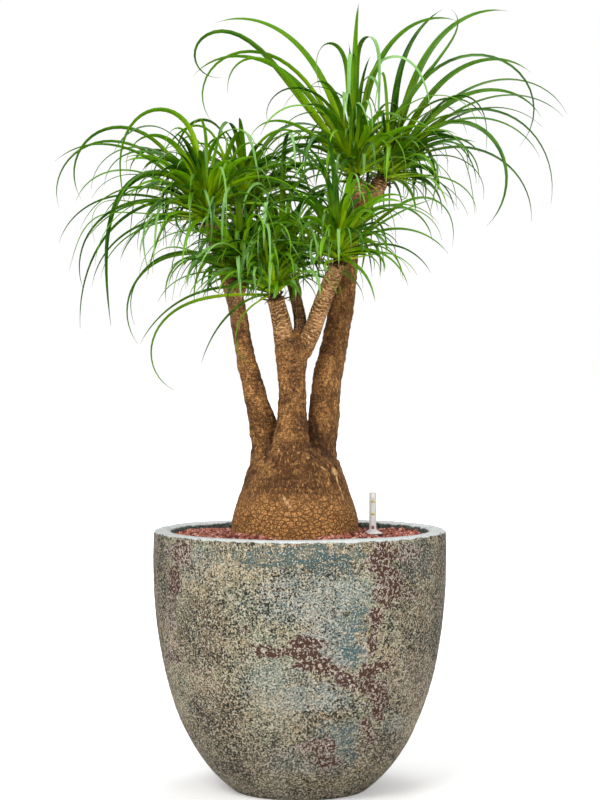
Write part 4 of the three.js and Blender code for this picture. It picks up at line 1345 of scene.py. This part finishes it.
def start_of(heading, lean, spin):
    """Turn and rise, in degrees, of a leaf that leans away from the shoot's heading."""
    across = Vector((0, 1, 0)).cross(heading).normalized()
    start = Quaternion(across, math.radians(lean)) @ heading
    start = Quaternion(heading, math.radians(spin)) @ start
    rise = math.degrees(math.asin(min(max(start.z, -1.0), 1.0)))
    return math.degrees(math.atan2(start.y, start.x)), rise


def shown_leaf(row):
    """A leaf that stands out; a broad one that folds over towards the viewer carries the pale painted
    sheen.
    """
    bend, roll = row[5], row[7]
    return leaf_of(*row, painted_sheen=float(bend >= 6 and roll <= 40))


def main_leaves(heading, reach, drop, draw):
    """The main leaves by rule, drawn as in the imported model."""
    leaves = []
    spin = next(draw) * 360
    for row in range(MAIN_COUNT):
        rank = ((row + 0.5) / MAIN_COUNT) ** 0.85
        lean = lerp(10, 92, rank) + 12 * (next(draw) - 0.5)
        turn, rise = start_of(heading, lean, spin + row * GOLDEN_ANGLE)
        folded = next(draw) < 0.3
        fall = lerp(-58, -108, next(draw))
        run = reach * lerp(0.72, 1.12, next(draw))
        width = lerp(9, 14, next(draw)) * (1.0 if rank < 0.35 else 0.78)
        bend = lerp(*((6, 11) if folded else (1.3, 2.5)), next(draw))
        fold = lerp(0.45, 0.8, next(draw)) if folded else 2.5
        roll = lerp(-35, 35, next(draw))
        drift = lerp(-20, 20, next(draw))
        leaves.append(leaf_of(
            turn, max(rise, -8), fall, run, width, bend, fold, roll, drift,
            painted_sheen=folded * 0.7, drop=drop * 0.7))
    return leaves


def fine_leaves(heading, reach, drop, count, draw):
    """Thinner leaves between the main ones, some of them short, curled or hanging."""
    leaves = []
    for row in range(count):
        rank = (row + 0.5) / count
        lean = lerp(8, 84, rank) + 16 * (next(draw) - 0.5)
        turn, rise = start_of(heading, lean, next(draw) * 30 + row * GOLDEN_ANGLE)
        curled = next(draw) < 0.16
        fall = lerp(-150, -230, next(draw)) if curled else lerp(-50, -112, next(draw))
        run = reach * (lerp(0.3, 0.5, next(draw)) if curled else lerp(0.42, 1.0, next(draw)))
        width = lerp(6.0, 13.0, next(draw) ** 1.3)
        folded = next(draw) < 0.25
        bend = lerp(*((5, 12) if folded else (1.2, 2.6)), next(draw))
        fold = lerp(0.4, 0.85, next(draw)) if folded else 2.5
        roll = lerp(-55, 55, next(draw))
        drift = lerp(-38, 38, next(draw))
        painted_sheen = 0.6 if folded or next(draw) < 0.1 else 0.0
        hang = drop * lerp(0.35, 0.95, next(draw) ** 1.5)
        leaves.append(leaf_of(
            turn, max(rise, -20), fall, run, width, bend, fold, roll, drift, painted_sheen=painted_sheen, drop=hang))
    return leaves


def sheath_leaves(heading, reach, count, draw):
    """Short broad leaves that stand close round the shoot."""
    leaves = []
    for row in range(count):
        lean = lerp(5, 50, (row + 0.5) / count)
        turn, rise = start_of(heading, lean, row * GOLDEN_ANGLE + 40 * next(draw))
        leaves.append(leaf_of(
            turn, rise, rise - lerp(50, 150, next(draw)), reach * lerp(0.4, 0.66, next(draw)),
            lerp(12, 20, next(draw)), 2, 2, lerp(-60, 60, next(draw))))
    return leaves


def husks(heading, draw):
    """Short dead leaf bases round the foot of a head."""
    leaves = []
    for row in range(HUSKS):
        turn, rise = start_of(heading, lerp(18, 82, next(draw)), row * GOLDEN_ANGLE)
        leaves.append(leaf_of(
            turn, rise, rise + lerp(-70, 20, next(draw)), lerp(9, 24, next(draw)),
            lerp(6, 11, next(draw)), 2, 2, lerp(-30, 30, next(draw)), dry=1.0))
    return leaves


def blade_width(s):
    """Share of a blade's full width at a share of its length."""
    body = (1 - 0.25 * s - 0.67 * s * s) * (1 - 0.85 * smooth(0.9, 1.0, s))
    return body * (0.85 + 0.35 * (1 - smooth(0.0, 0.2, s)))


def leaf_frames(root, leaf, segments):
    """(point, side, up, share of the length) for each ring of a blade, closer where it bends more."""
    point = root.copy()
    line = []
    measure = [0.0]
    half = leaf["fold"] ** leaf["bend"]
    for step in range(PATH_STEPS + 1):
        s = step / PATH_STEPS
        rise = s ** leaf["bend"]
        bent = rise * (1 + half) / (rise + half)
        climb = math.radians(lerp(leaf["rise"], leaf["fall"], bent))
        turn = math.radians(leaf["turn"] + leaf["drift"] * s)
        level = math.cos(climb)
        heading = Vector((level * math.cos(turn), level * math.sin(turn), math.sin(climb)))
        if step:
            point = point + heading * (leaf["length"] / PATH_STEPS)
            swing = heading.angle(line[-1][1])
            measure.append(measure[-1] + 1 / PATH_STEPS + 0.55 * swing / math.pi)
        line.append((point, heading, turn, s))
    frames = []
    here = 0
    for ring in range(segments + 1):
        goal = measure[-1] * ring / segments
        while here < PATH_STEPS - 1 and measure[here + 1] < goal:
            here += 1
        span = measure[here + 1] - measure[here]
        part = min(max((goal - measure[here]) / span, 0.0), 1.0)
        (p0, h0, t0, s0), (p1, h1, t1, s1) = line[here], line[here + 1]
        heading = h0.lerp(h1, part).normalized()
        turn = lerp(t0, t1, part)
        s = lerp(s0, s1, part)
        side = Vector((math.sin(turn), -math.cos(turn), 0))
        side = Quaternion(heading, math.radians(leaf["roll"]) * smooth(0, 0.35, s)) @ side
        frames.append((p0.lerp(p1, part), side, side.cross(heading), s))
    return frames


def blade_template(segments):
    """A closed flat strip, with each vertex's ring, place across and sheet (0 upper, 1 lower)."""
    bm = bmesh.new()
    bmesh.ops.create_grid(bm, x_segments=ACROSS, y_segments=segments, size=1.0)
    made = bmesh.ops.extrude_face_region(bm, geom=list(bm.faces), use_keep_orig=True)
    for item in made["geom"]:
        if isinstance(item, bmesh.types.BMVert):
            item.co.z = 1.0
    bmesh.ops.recalc_face_normals(bm, faces=bm.faces)
    for edge in bm.edges:
        wall = any(abs(face.normal.z) < 0.5 for face in edge.link_faces)
        sheet = any(abs(face.normal.z) > 0.5 for face in edge.link_faces)
        edge.smooth = not (wall and sheet)
    for face in bm.faces:
        face.smooth = True
    places = [
        (round((vert.co.y + 1) / 2 * segments), vert.co.x, 1.0 - vert.co.z) for vert in bm.verts]
    mesh = bpy.data.meshes.new("blade_template")
    bm.to_mesh(mesh)
    bm.free()
    return mesh, places


def blade_points(root, leaf, places, leaves):
    """Where the template's vertices lie on one leaf."""
    frames = leaf_frames(root, leaf, leaves.segments)
    sections = []
    for point, side, up, s in frames:
        half = leaf["width"] * blade_width(s) / 2
        channel = half * lerp(0.62, 0.26, smooth(0.0, 0.4, s))
        thick = leaves.thickness * lerp(1.6, 0.7, s)
        sections.append((point, side * half, up * channel, up * thick))
    points = []
    for ring, across, sheet in places:
        point, side, rise, thick = sections[ring]
        points.append(point + side * across + rise * (abs(across) ** 1.5 - 0.4) - thick * sheet)
    return points


def fitted(root, foot, leaf, places, leaves):
    """A leaf's points, the leaf made shorter where it would hang too low or leave the model's box.

    There are none where too little of the leaf would be left.
    """
    low, high = CAD_BOX[0].copy(), CAD_BOX[1]
    if leaf["drop"] is not None:
        low.z = foot.z - leaf["drop"] * MM
    for _ in range(CUTS):
        points = blade_points(root, leaf, places, leaves)
        if all(low[k] <= point[k] <= high[k] for point in points for k in range(3)):
            return points
        leaf = {**leaf, "length": leaf["length"] * 0.94, "rise": min(leaf["rise"] + 1.5, 89)}
    return []


def leaf_material(leaves):
    material, graph, shader = new_material("strap_leaf", Specular_IOR_Level=0.13)
    along, across, tone, under, dry, painted_sheen = (graph.attribute(name) for name in LEAF_VALUES)
    spot = graph.add("ShaderNodeCombineXYZ", {0: across, 1: graph.times(along, 3.0), 2: tone})
    veins = graph.noise(graph.mapped(spot, size=(14.0, 1.0, 60.0)), 1.6, 3.0, 0.6)
    cloud = graph.noise(graph.mapped(spot, size=(0.4, 1.6, 90.0)), 2.2, 3.0)
    rib = graph.step(graph.math("ABSOLUTE", across), 0.0, 0.22)
    body = graph.mix(graph.step(tone, 0.18, 0.95), leaves.deep, leaves.fresh)
    body = graph.mix(graph.step(cloud, 0.35, 0.65, 0.0, 0.3), body, leaves.fresh)
    body = graph.mix(graph.step(veins, 0.4, 0.62, 0.4, 0.0), body, leaves.deep)
    body = graph.mix(graph.step(rib, 0.0, 1.0, 0.35, 0.0), body, leaves.deep)
    root = graph.step(along, 0.42, 0.02, 0.0, 0.8)
    body = graph.mix(graph.times(root, graph.step(tone, 0.1, 1.0, 0.3, 1.0)), body, leaves.lime)
    # painted sheen: mint on the upper faces where the folded blades bend over
    upper = graph.step(under, 1.0, 0.0)
    sheen_mask = graph.times(upper, graph.step(along, 0.34, 0.58))
    sheen_mask = graph.times(sheen_mask, graph.step(painted_sheen, 0.0, 1.0, 0.07, 0.88))
    body = graph.mix(sheen_mask, body, leaves.mint)
    dead = graph.step(graph.plus(along, graph.step(tone, 0.0, 1.0, -0.05, 0.03)), 0.92, 1.0)
    body = graph.mix(dead, body, leaves.straw)
    husk = graph.mix(graph.step(veins, 0.4, 0.6), leaves.husk, leaves.straw)
    husk = graph.mix(graph.step(along, 0.2, 0.8, 0.55, 0.95), husk, leaves.husk)
    graph.feed(shader.inputs["Base Color"], graph.mix(dry, body, husk))
    graph.feed(shader.inputs["Roughness"], graph.step(upper, 0.0, 1.0, 0.55, 0.42))
    bumped(graph, shader, veins, 0.25, 0.0004)
    return material


def root_of(foot, heading, leaf):
    """Where a leaf springs from the shoot: the more upright, the higher up and the nearer its middle."""
    upright = min(max(leaf["rise"] / 90, 0.0), 1.0)
    lift = CORE_HEIGHT * lerp(ROOTS_FROM, ROOTS_TO, upright) * (1 - 0.9 * leaf["dry"])
    turn = math.radians(leaf["turn"])
    out = Vector((math.cos(turn), math.sin(turn), 0)) * lerp(0.009, 0.002, upright)
    return foot + heading * (lift - 0.006) + out


def build_heads(leaves):
    material = leaf_material(leaves)
    template, places = blade_template(leaves.segments)
    draw = draws_from(leaves.seed)
    fine_draw = draws_from(leaves.extra_seed)
    for node, limb, reach, drop, fullness, shown in HEADS:
        curve = limb_curve(LIMBS[limb])
        foot = curve[-1][0]
        heading = (foot - curve[-3][0]).normalized()
        grown = [shown_leaf(row) for row in shown]
        grown += main_leaves(heading, reach, drop, draw)
        grown += fine_leaves(heading, reach, drop, round(leaves.extra * fullness), fine_draw)
        grown += sheath_leaves(heading, reach, leaves.sheaths, fine_draw)
        grown += husks(heading, fine_draw)
        bm = bmesh.new()
        points = []
        values = {name: [] for name in LEAF_VALUES}
        for row, leaf in enumerate(grown):
            placed = fitted(root_of(foot, heading, leaf), foot, leaf, places, leaves)
            if not placed:
                continue
            bm.from_mesh(template)
            points.extend(placed)
            tone = next(fine_draw) * (SHOWN_TONE if row < len(shown) else 1.0)
            for ring, across, sheet in places:
                vertex = (ring / leaves.segments, across, tone, sheet, leaf["dry"], leaf["painted_sheen"])
                for name, value in zip(LEAF_VALUES, vertex):
                    values[name].append(value)
        for vert, point in zip(bm.verts, points):
            vert.co = point
        name = node.replace("head", "leaves")
        mesh = bpy.data.meshes.new(name)
        bm.to_mesh(mesh)
        bm.free()
        for key, column in values.items():
            set_values(mesh, key, column)
        piece = new_piece(name, mesh, PLANT, "leaf", material)
        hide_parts(node)
    bpy.data.meshes.remove(template)


# ---- Water gauge ----

GAUGE_RADIUS = 0.0052
GAUGE_STEPS = 56
GAUGE_SEAT = 0.3726  # height of the collar's lower face
GAUGE_HOLE = 0.0018  # radius of the opening in the foot that lets water in
GAUGE_FLOOR = 0.002  # thickness of the foot
COLLAR_EDGE = 0.0009  # thickness of the collar's edge
COLLAR_FLARE = ((0.0090, 0.0036), (0.0056, 0.0064))  # (radius, height above the seat) of its slope
COLLAR_TOP = 0.0070  # above the seat
CAP_THICK = 0.0030
CAP_ROUND = ((0.0, 0.0012), (0.0004, 0.0004), (0.0013, 0.0))  # (in from the radius, down from the top)
BAR_HEIGHTS = (0.4003, 0.4187)
BAR_TALL = 0.0036
BAR_ANGLES = (-0.50, -0.25, 0.0, 0.25, 0.50)  # about the tube's axis, from its front
BAR_LIFT = 0.00012
BAR_THICK = 0.0001
STRIP_HALF = 0.0022  # half the width of the clear strip up the tube's front
STRIP_TOP = 0.4255
TUBE_CLOUD = (0.6, 0.62, 0.66)  # colour of the tube's faint clouds
BORE_PAINTED_GLOW = 0.50  # painted light: a glow on the tube's inner wall that stands in for daylight through the thin plastic
FLOAT_LOW, FLOAT_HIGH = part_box("gauge_float")
FLOAT_STEPS = 32
FLOAT_BODY = 0.033  # length of the float's thick part
ROD_RADIUS = 0.0013
TIP_RADIUS = 0.0026
TIP_TALL = 0.0055  # length of the red tip


def tube_material(gauge):
    """White plastic with a clear strip up the front, through which the float's tip shows."""
    material, graph, shader = new_material("white_tube_plastic", Roughness=0.4, IOR=1.46)
    place = graph.place()
    body = graph.mix(graph.times(mottled(graph, 90.0, 700.0), 0.1), gauge.tube, TUBE_CLOUD)
    graph.feed(shader.inputs["Base Color"], body)
    away = graph.math("ABSOLUTE", graph.minus(graph.axis(place, "X"), GAUGE_CENTRE.x))
    near = graph.step(away, STRIP_HALF, STRIP_HALF - 0.0003)
    low = graph.step(graph.axis(place, "Z"), STRIP_TOP, STRIP_TOP - 0.0005)
    strip = graph.times(near, low)
    graph.feed(shader.inputs["Alpha"], graph.step(strip, 0.0, 1.0, 1.0, 1.0 - gauge.clearness))
    return material


def plain_material(name, tone, roughness, clouded=0.5, glow=0.0):
    """A slightly clouded, slightly rough surface of one colour; glow is painted light that stands in for
    light coming through it.
    """
    material, graph, shader = new_material(
        name, Roughness=roughness, Emission_Color=tone, Emission_Strength=glow)
    cloud = mottled(graph, 30.0, 400.0)
    darker = tuple(part * 0.6 for part in tone)
    graph.feed(shader.inputs["Base Color"], graph.mix(graph.times(cloud, clouded), tone, darker))
    bumped(graph, shader, cloud, 0.3 * clouded, 0.0004)
    return material


def build_tube(gauge, centre):
    """The tube with its collar, closed by a cap and open at the foot for the water."""
    radius, seat, top, foot = GAUGE_RADIUS, GAUGE_SEAT, GAUGE_HIGH.z, GAUGE_LOW.z
    inner = radius - gauge.wall
    profile = [
        (GAUGE_HOLE, foot), (radius, foot), (radius, seat), (COLLAR_REACH, seat),
        (COLLAR_REACH, seat + COLLAR_EDGE), *[(reach, seat + rise) for reach, rise in COLLAR_FLARE],
        (radius, seat + COLLAR_TOP), *[(radius - inward, top - down) for inward, down in CAP_ROUND],
        (0.0, top), (0.0, top - CAP_THICK), (inner, top - CAP_THICK), (inner, seat + COLLAR_TOP),
        (inner, foot + GAUGE_FLOOR), (GAUGE_HOLE, foot + GAUGE_FLOOR), (GAUGE_HOLE, foot),
    ]
    bm = turned(profile, GAUGE_STEPS, centre)
    sharp = [
        edge for edge in bm.edges if edge.calc_face_angle(0.0) > 0.6 and edge.verts[0].co.z > seat]
    bmesh.ops.bevel(
        bm, geom=sharp, offset=0.0002, affect="EDGES", segments=2, profile=0.5, material=-1)
    strip, scale, bore = range(3)
    for face in bm.faces:
        middle = face.calc_center_median()
        away = math.hypot(middle.x - centre[0], middle.y - centre[1])
        if middle.y > centre[1] and away < inner + 0.0002 and middle.z < top - 0.002:
            face.material_index = bore
        elif middle.y > centre[1] or middle.z < seat + COLLAR_TOP - 0.0002:
            face.material_index = scale
        else:
            face.material_index = strip
    white = plain_material("scale_plastic", gauge.tube, 0.5, clouded=0.08)
    # the inside of the tube's back glows: painted light
    lit = plain_material("painted_glow_plastic", gauge.tube, 0.5, clouded=0.08, glow=BORE_PAINTED_GLOW)
    mesh = mesh_of("gauge_tube_clear", bm)
    piece = new_piece("gauge_tube_clear", mesh, PLANT, "gauge_plastic", tube_material(gauge), white, lit)
    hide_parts("gauge_tube")


def build_bars(gauge, centre):
    """The two bars printed on the tube's front."""
    bm = bmesh.new()
    skin = GAUGE_RADIUS + BAR_LIFT
    for height in BAR_HEIGHTS:
        places = [
            (centre[0] + skin * math.sin(angle), centre[1] - skin * math.cos(angle), height)
            for angle in BAR_ANGLES]
        made = [bm.verts.new(place) for place in places]
        edges = [bm.edges.new(pair) for pair in zip(made, made[1:])]
        raised = bmesh.ops.extrude_edge_only(bm, edges=edges)
        tops = [item for item in raised["geom"] if isinstance(item, bmesh.types.BMVert)]
        bmesh.ops.translate(bm, verts=tops, vec=(0.0, 0.0, BAR_TALL))
    bmesh.ops.solidify(bm, geom=bm.faces, thickness=BAR_THICK)
    bmesh.ops.recalc_face_normals(bm, faces=bm.faces)
    paint = plain_material("bar_paint", gauge.bar, 0.5)
    new_piece("gauge_bars", mesh_of("gauge_bars", bm), PLANT, "gauge_plastic", paint)


def build_float(gauge, centre):
    """The float in the tube's foot, with its rod and red tip."""
    low, high = FLOAT_LOW.z, FLOAT_HIGH.z
    body = FLOAT_HIGH.x - GAUGE_CENTRE.x
    rod, tip = ROD_RADIUS, TIP_RADIUS
    profile = [
        (0.0, low), (body * 0.8, low), (body, low + 0.001), (body, low + FLOAT_BODY),
        (body * 0.8, low + FLOAT_BODY + 0.002), (rod, low + FLOAT_BODY + 0.004),
        (rod, high - TIP_TALL - 0.0001), (tip * 0.85, high - 0.0050), (tip, high - 0.0042),
        (tip, high - 0.0012), (tip * 0.75, high - 0.0003), (0.0, high),
    ]
    bm = turned(profile, FLOAT_STEPS, centre)
    for face in bm.faces:
        face.material_index = int(face.calc_center_median().z > high - TIP_TALL)
    pale = plain_material("float_rod", gauge.rod, 0.5)
    red = plain_material("float_tip", gauge.tip, 0.4)
    mesh = mesh_of("gauge_float_rod", bm)
    piece = new_piece("gauge_float_rod", mesh, FLOAT, "float_plastic", pale, red)
    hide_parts("gauge_float")


def build_gauge(gauge):
    centre = (GAUGE_CENTRE.x, GAUGE_CENTRE.y)
    build_tube(gauge, centre)
    build_bars(gauge, centre)
    build_float(gauge, centre)


# ---- Hidden parts ----

def build_hidden_parts(hidden):
    """Finishes for what the granules hide: the inner pot and the beds of clay."""
    plastic = plain_material("black_pot_plastic", hidden.pot, 0.6)
    clay = plain_material("bed_clay", hidden.clay, 0.9)
    for name, material in (("culture_pot", plastic), ("outer_bed", clay), ("rooting_bed", clay)):
        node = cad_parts[name]
        node.data.materials.clear()
        node.data.materials.append(material)


# ---- Stage ----

FLOOR_REACH = 30.0
FLOOR_DROP = 0.0004  # keeps the floor just under the planter's foot
WHITE = (1.0, 1.0, 1.0, 1.0)
MIDDLE = (0.0, 0.0, 0.55)
# Each lamp: its name, place, what it aims at, the side of its square, and its share of the key's power.
LAMPS = (
    ("key", (-1.1, -2.3, 2.2), MIDDLE, 1.3, 1.0),
    ("fill", (1.7, -2.4, 1.3), MIDDLE, 1.5, 0.42),
    ("top", (0.2, 0.5, 3.0), (0.0, 0.0, 0.9), 1.4, 0.55),
)


def add_lamp(name, place, aim, side, power):
    light = bpy.data.lights.new(name, "AREA")
    light.shape = "SQUARE"
    light.size = side
    light.energy = power
    lamp = bpy.data.objects.new(name, light)
    lamp.location = place
    lamp.rotation_euler = (Vector(aim) - Vector(place)).to_track_quat("-Z", "Y").to_euler()
    bpy.context.scene.collection.objects.link(lamp)


def add_floor(stage):
    """A pale floor that brightens with the distance, for the camera alone, and so has no horizon."""
    bm = bmesh.new()
    bmesh.ops.create_circle(
        bm, cap_ends=True, segments=96, radius=FLOOR_REACH,
        matrix=Matrix.Translation((0.0, 0.0, -FLOOR_DROP)))
    floor = bpy.data.objects.new("floor", mesh_of("floor", bm))
    material, graph, shader = new_material("pale_floor", Roughness=0.9, Emission_Color=WHITE)
    cloud = graph.times(mottled(graph, 1.5, 9.0), 0.03)
    graph.feed(shader.inputs["Base Color"], graph.mix(cloud, stage.floor, (0.8, 0.8, 0.8)))
    away = graph.vector("LENGTH", graph.place(), output="Value")
    seen = graph.add("ShaderNodeLightPath", output="Is Camera Ray")
    glow = graph.times(graph.step(away, 0.6, 3.0, 0.25, 0.9), seen)
    graph.feed(shader.inputs["Emission Strength"], glow)
    floor.data.materials.append(material)
    bpy.context.scene.collection.objects.link(floor)


def add_world(stage):
    """White all round to the camera, and a softer light from all round to the plant."""
    world = bpy.data.worlds.new("studio")
    world.use_nodes = True
    sky = Graph(world.node_tree)
    seen = sky.add("ShaderNodeLightPath", output="Is Camera Ray")
    backdrop = world.node_tree.nodes["Background"].inputs
    sky.feed(backdrop["Color"], WHITE)
    sky.feed(backdrop["Strength"], sky.step(seen, 0.0, 1.0, stage.ambient, 1.0))
    bpy.context.scene.world = world


def add_camera(stage):
    camera = bpy.data.objects.new("camera", bpy.data.cameras.new("camera"))
    camera.data.lens = stage.lens
    camera.data.sensor_width = 36.0
    camera.data.shift_y = -stage.drop
    camera.location = (stage.aside, -stage.distance, stage.height)
    camera.rotation_euler = (math.pi / 2, 0.0, 0.0)
    bpy.context.scene.collection.objects.link(camera)
    bpy.context.scene.camera = camera


def build_stage(stage):
    add_floor(stage)
    add_world(stage)
    for name, place, aim, side, power in LAMPS:
        add_lamp(name, place, aim, side, stage.power * power)
    add_camera(stage)
    bpy.context.scene.view_settings.view_transform = "Standard"


# ---- Operators ----

class BuildStep(bpy.types.Operator):
    """One step of the build."""
    bl_options = {"REGISTER", "UNDO"}

    def execute(self, context):
        self.build(context.scene)
        return {"FINISHED"}


class PALM_OT_planter(BuildStep):
    """Build the glazed planter"""
    bl_idname = "palm.planter"
    bl_label = "Planter"

    def build(self, scene):
        build_planter(scene.palm_planter)


class PALM_OT_granules(BuildStep):
    """Build the layer of clay granules"""
    bl_idname = "palm.granules"
    bl_label = "Granules"

    def build(self, scene):
        build_granules(scene.palm_granules)


class PALM_OT_trunk(BuildStep):
    """Build the swollen base and the stems with their bark"""
    bl_idname = "palm.trunk"
    bl_label = "Trunk"

    def build(self, scene):
        build_trunk(scene.palm_bark)


class PALM_OT_heads(BuildStep):
    """Build the heads of leaves"""
    bl_idname = "palm.heads"
    bl_label = "Heads"

    def build(self, scene):
        build_heads(scene.palm_leaves)


class PALM_OT_gauge(BuildStep):
    """Build the water gauge and its float"""
    bl_idname = "palm.gauge"
    bl_label = "Gauge"

    def build(self, scene):
        build_gauge(scene.palm_gauge)


class PALM_OT_hidden(BuildStep):
    """Give the inner pot and the beds their finishes"""
    bl_idname = "palm.hidden"
    bl_label = "Hidden parts"

    def build(self, scene):
        build_hidden_parts(scene.palm_hidden)


class PALM_OT_stage(BuildStep):
    """Add the camera, the lights and the floor"""
    bl_idname = "palm.stage"
    bl_label = "Stage"

    def build(self, scene):
        build_stage(scene.palm_stage)


STEPS = (
    PALM_OT_stage, PALM_OT_planter, PALM_OT_granules, PALM_OT_trunk, PALM_OT_heads, PALM_OT_gauge,
    PALM_OT_hidden)


class PALM_PT_sidebar(bpy.types.Panel):
    """Lists the steps and their settings"""
    bl_label = "Ponytail palm"
    bl_idname = "PALM_PT_sidebar"
    bl_space_type = "VIEW_3D"
    bl_region_type = "UI"
    bl_category = "Palm"

    def draw(self, context):
        for step in STEPS:
            self.layout.operator(step.bl_idname)
        for name, group in GROUPS.items():
            box = self.layout.box()
            box.label(text=name.removeprefix("palm_").capitalize())
            for key in group.__annotations__:
                box.prop(getattr(context.scene, name), key)


CLASSES = (*GROUPS.values(), *STEPS, PALM_PT_sidebar)


def register():
    for item in CLASSES:
        bpy.utils.register_class(item)
    for name, group in GROUPS.items():
        setattr(bpy.types.Scene, name, PointerProperty(type=group))


def unregister():
    for name in GROUPS:
        delattr(bpy.types.Scene, name)
    for item in reversed(CLASSES):
        bpy.utils.unregister_class(item)


def main():
    register()
    for step in STEPS:
        name = step.bl_idname.split(".")[1]
        getattr(bpy.ops.palm, name)()


if __name__ == "__main__":
    main()
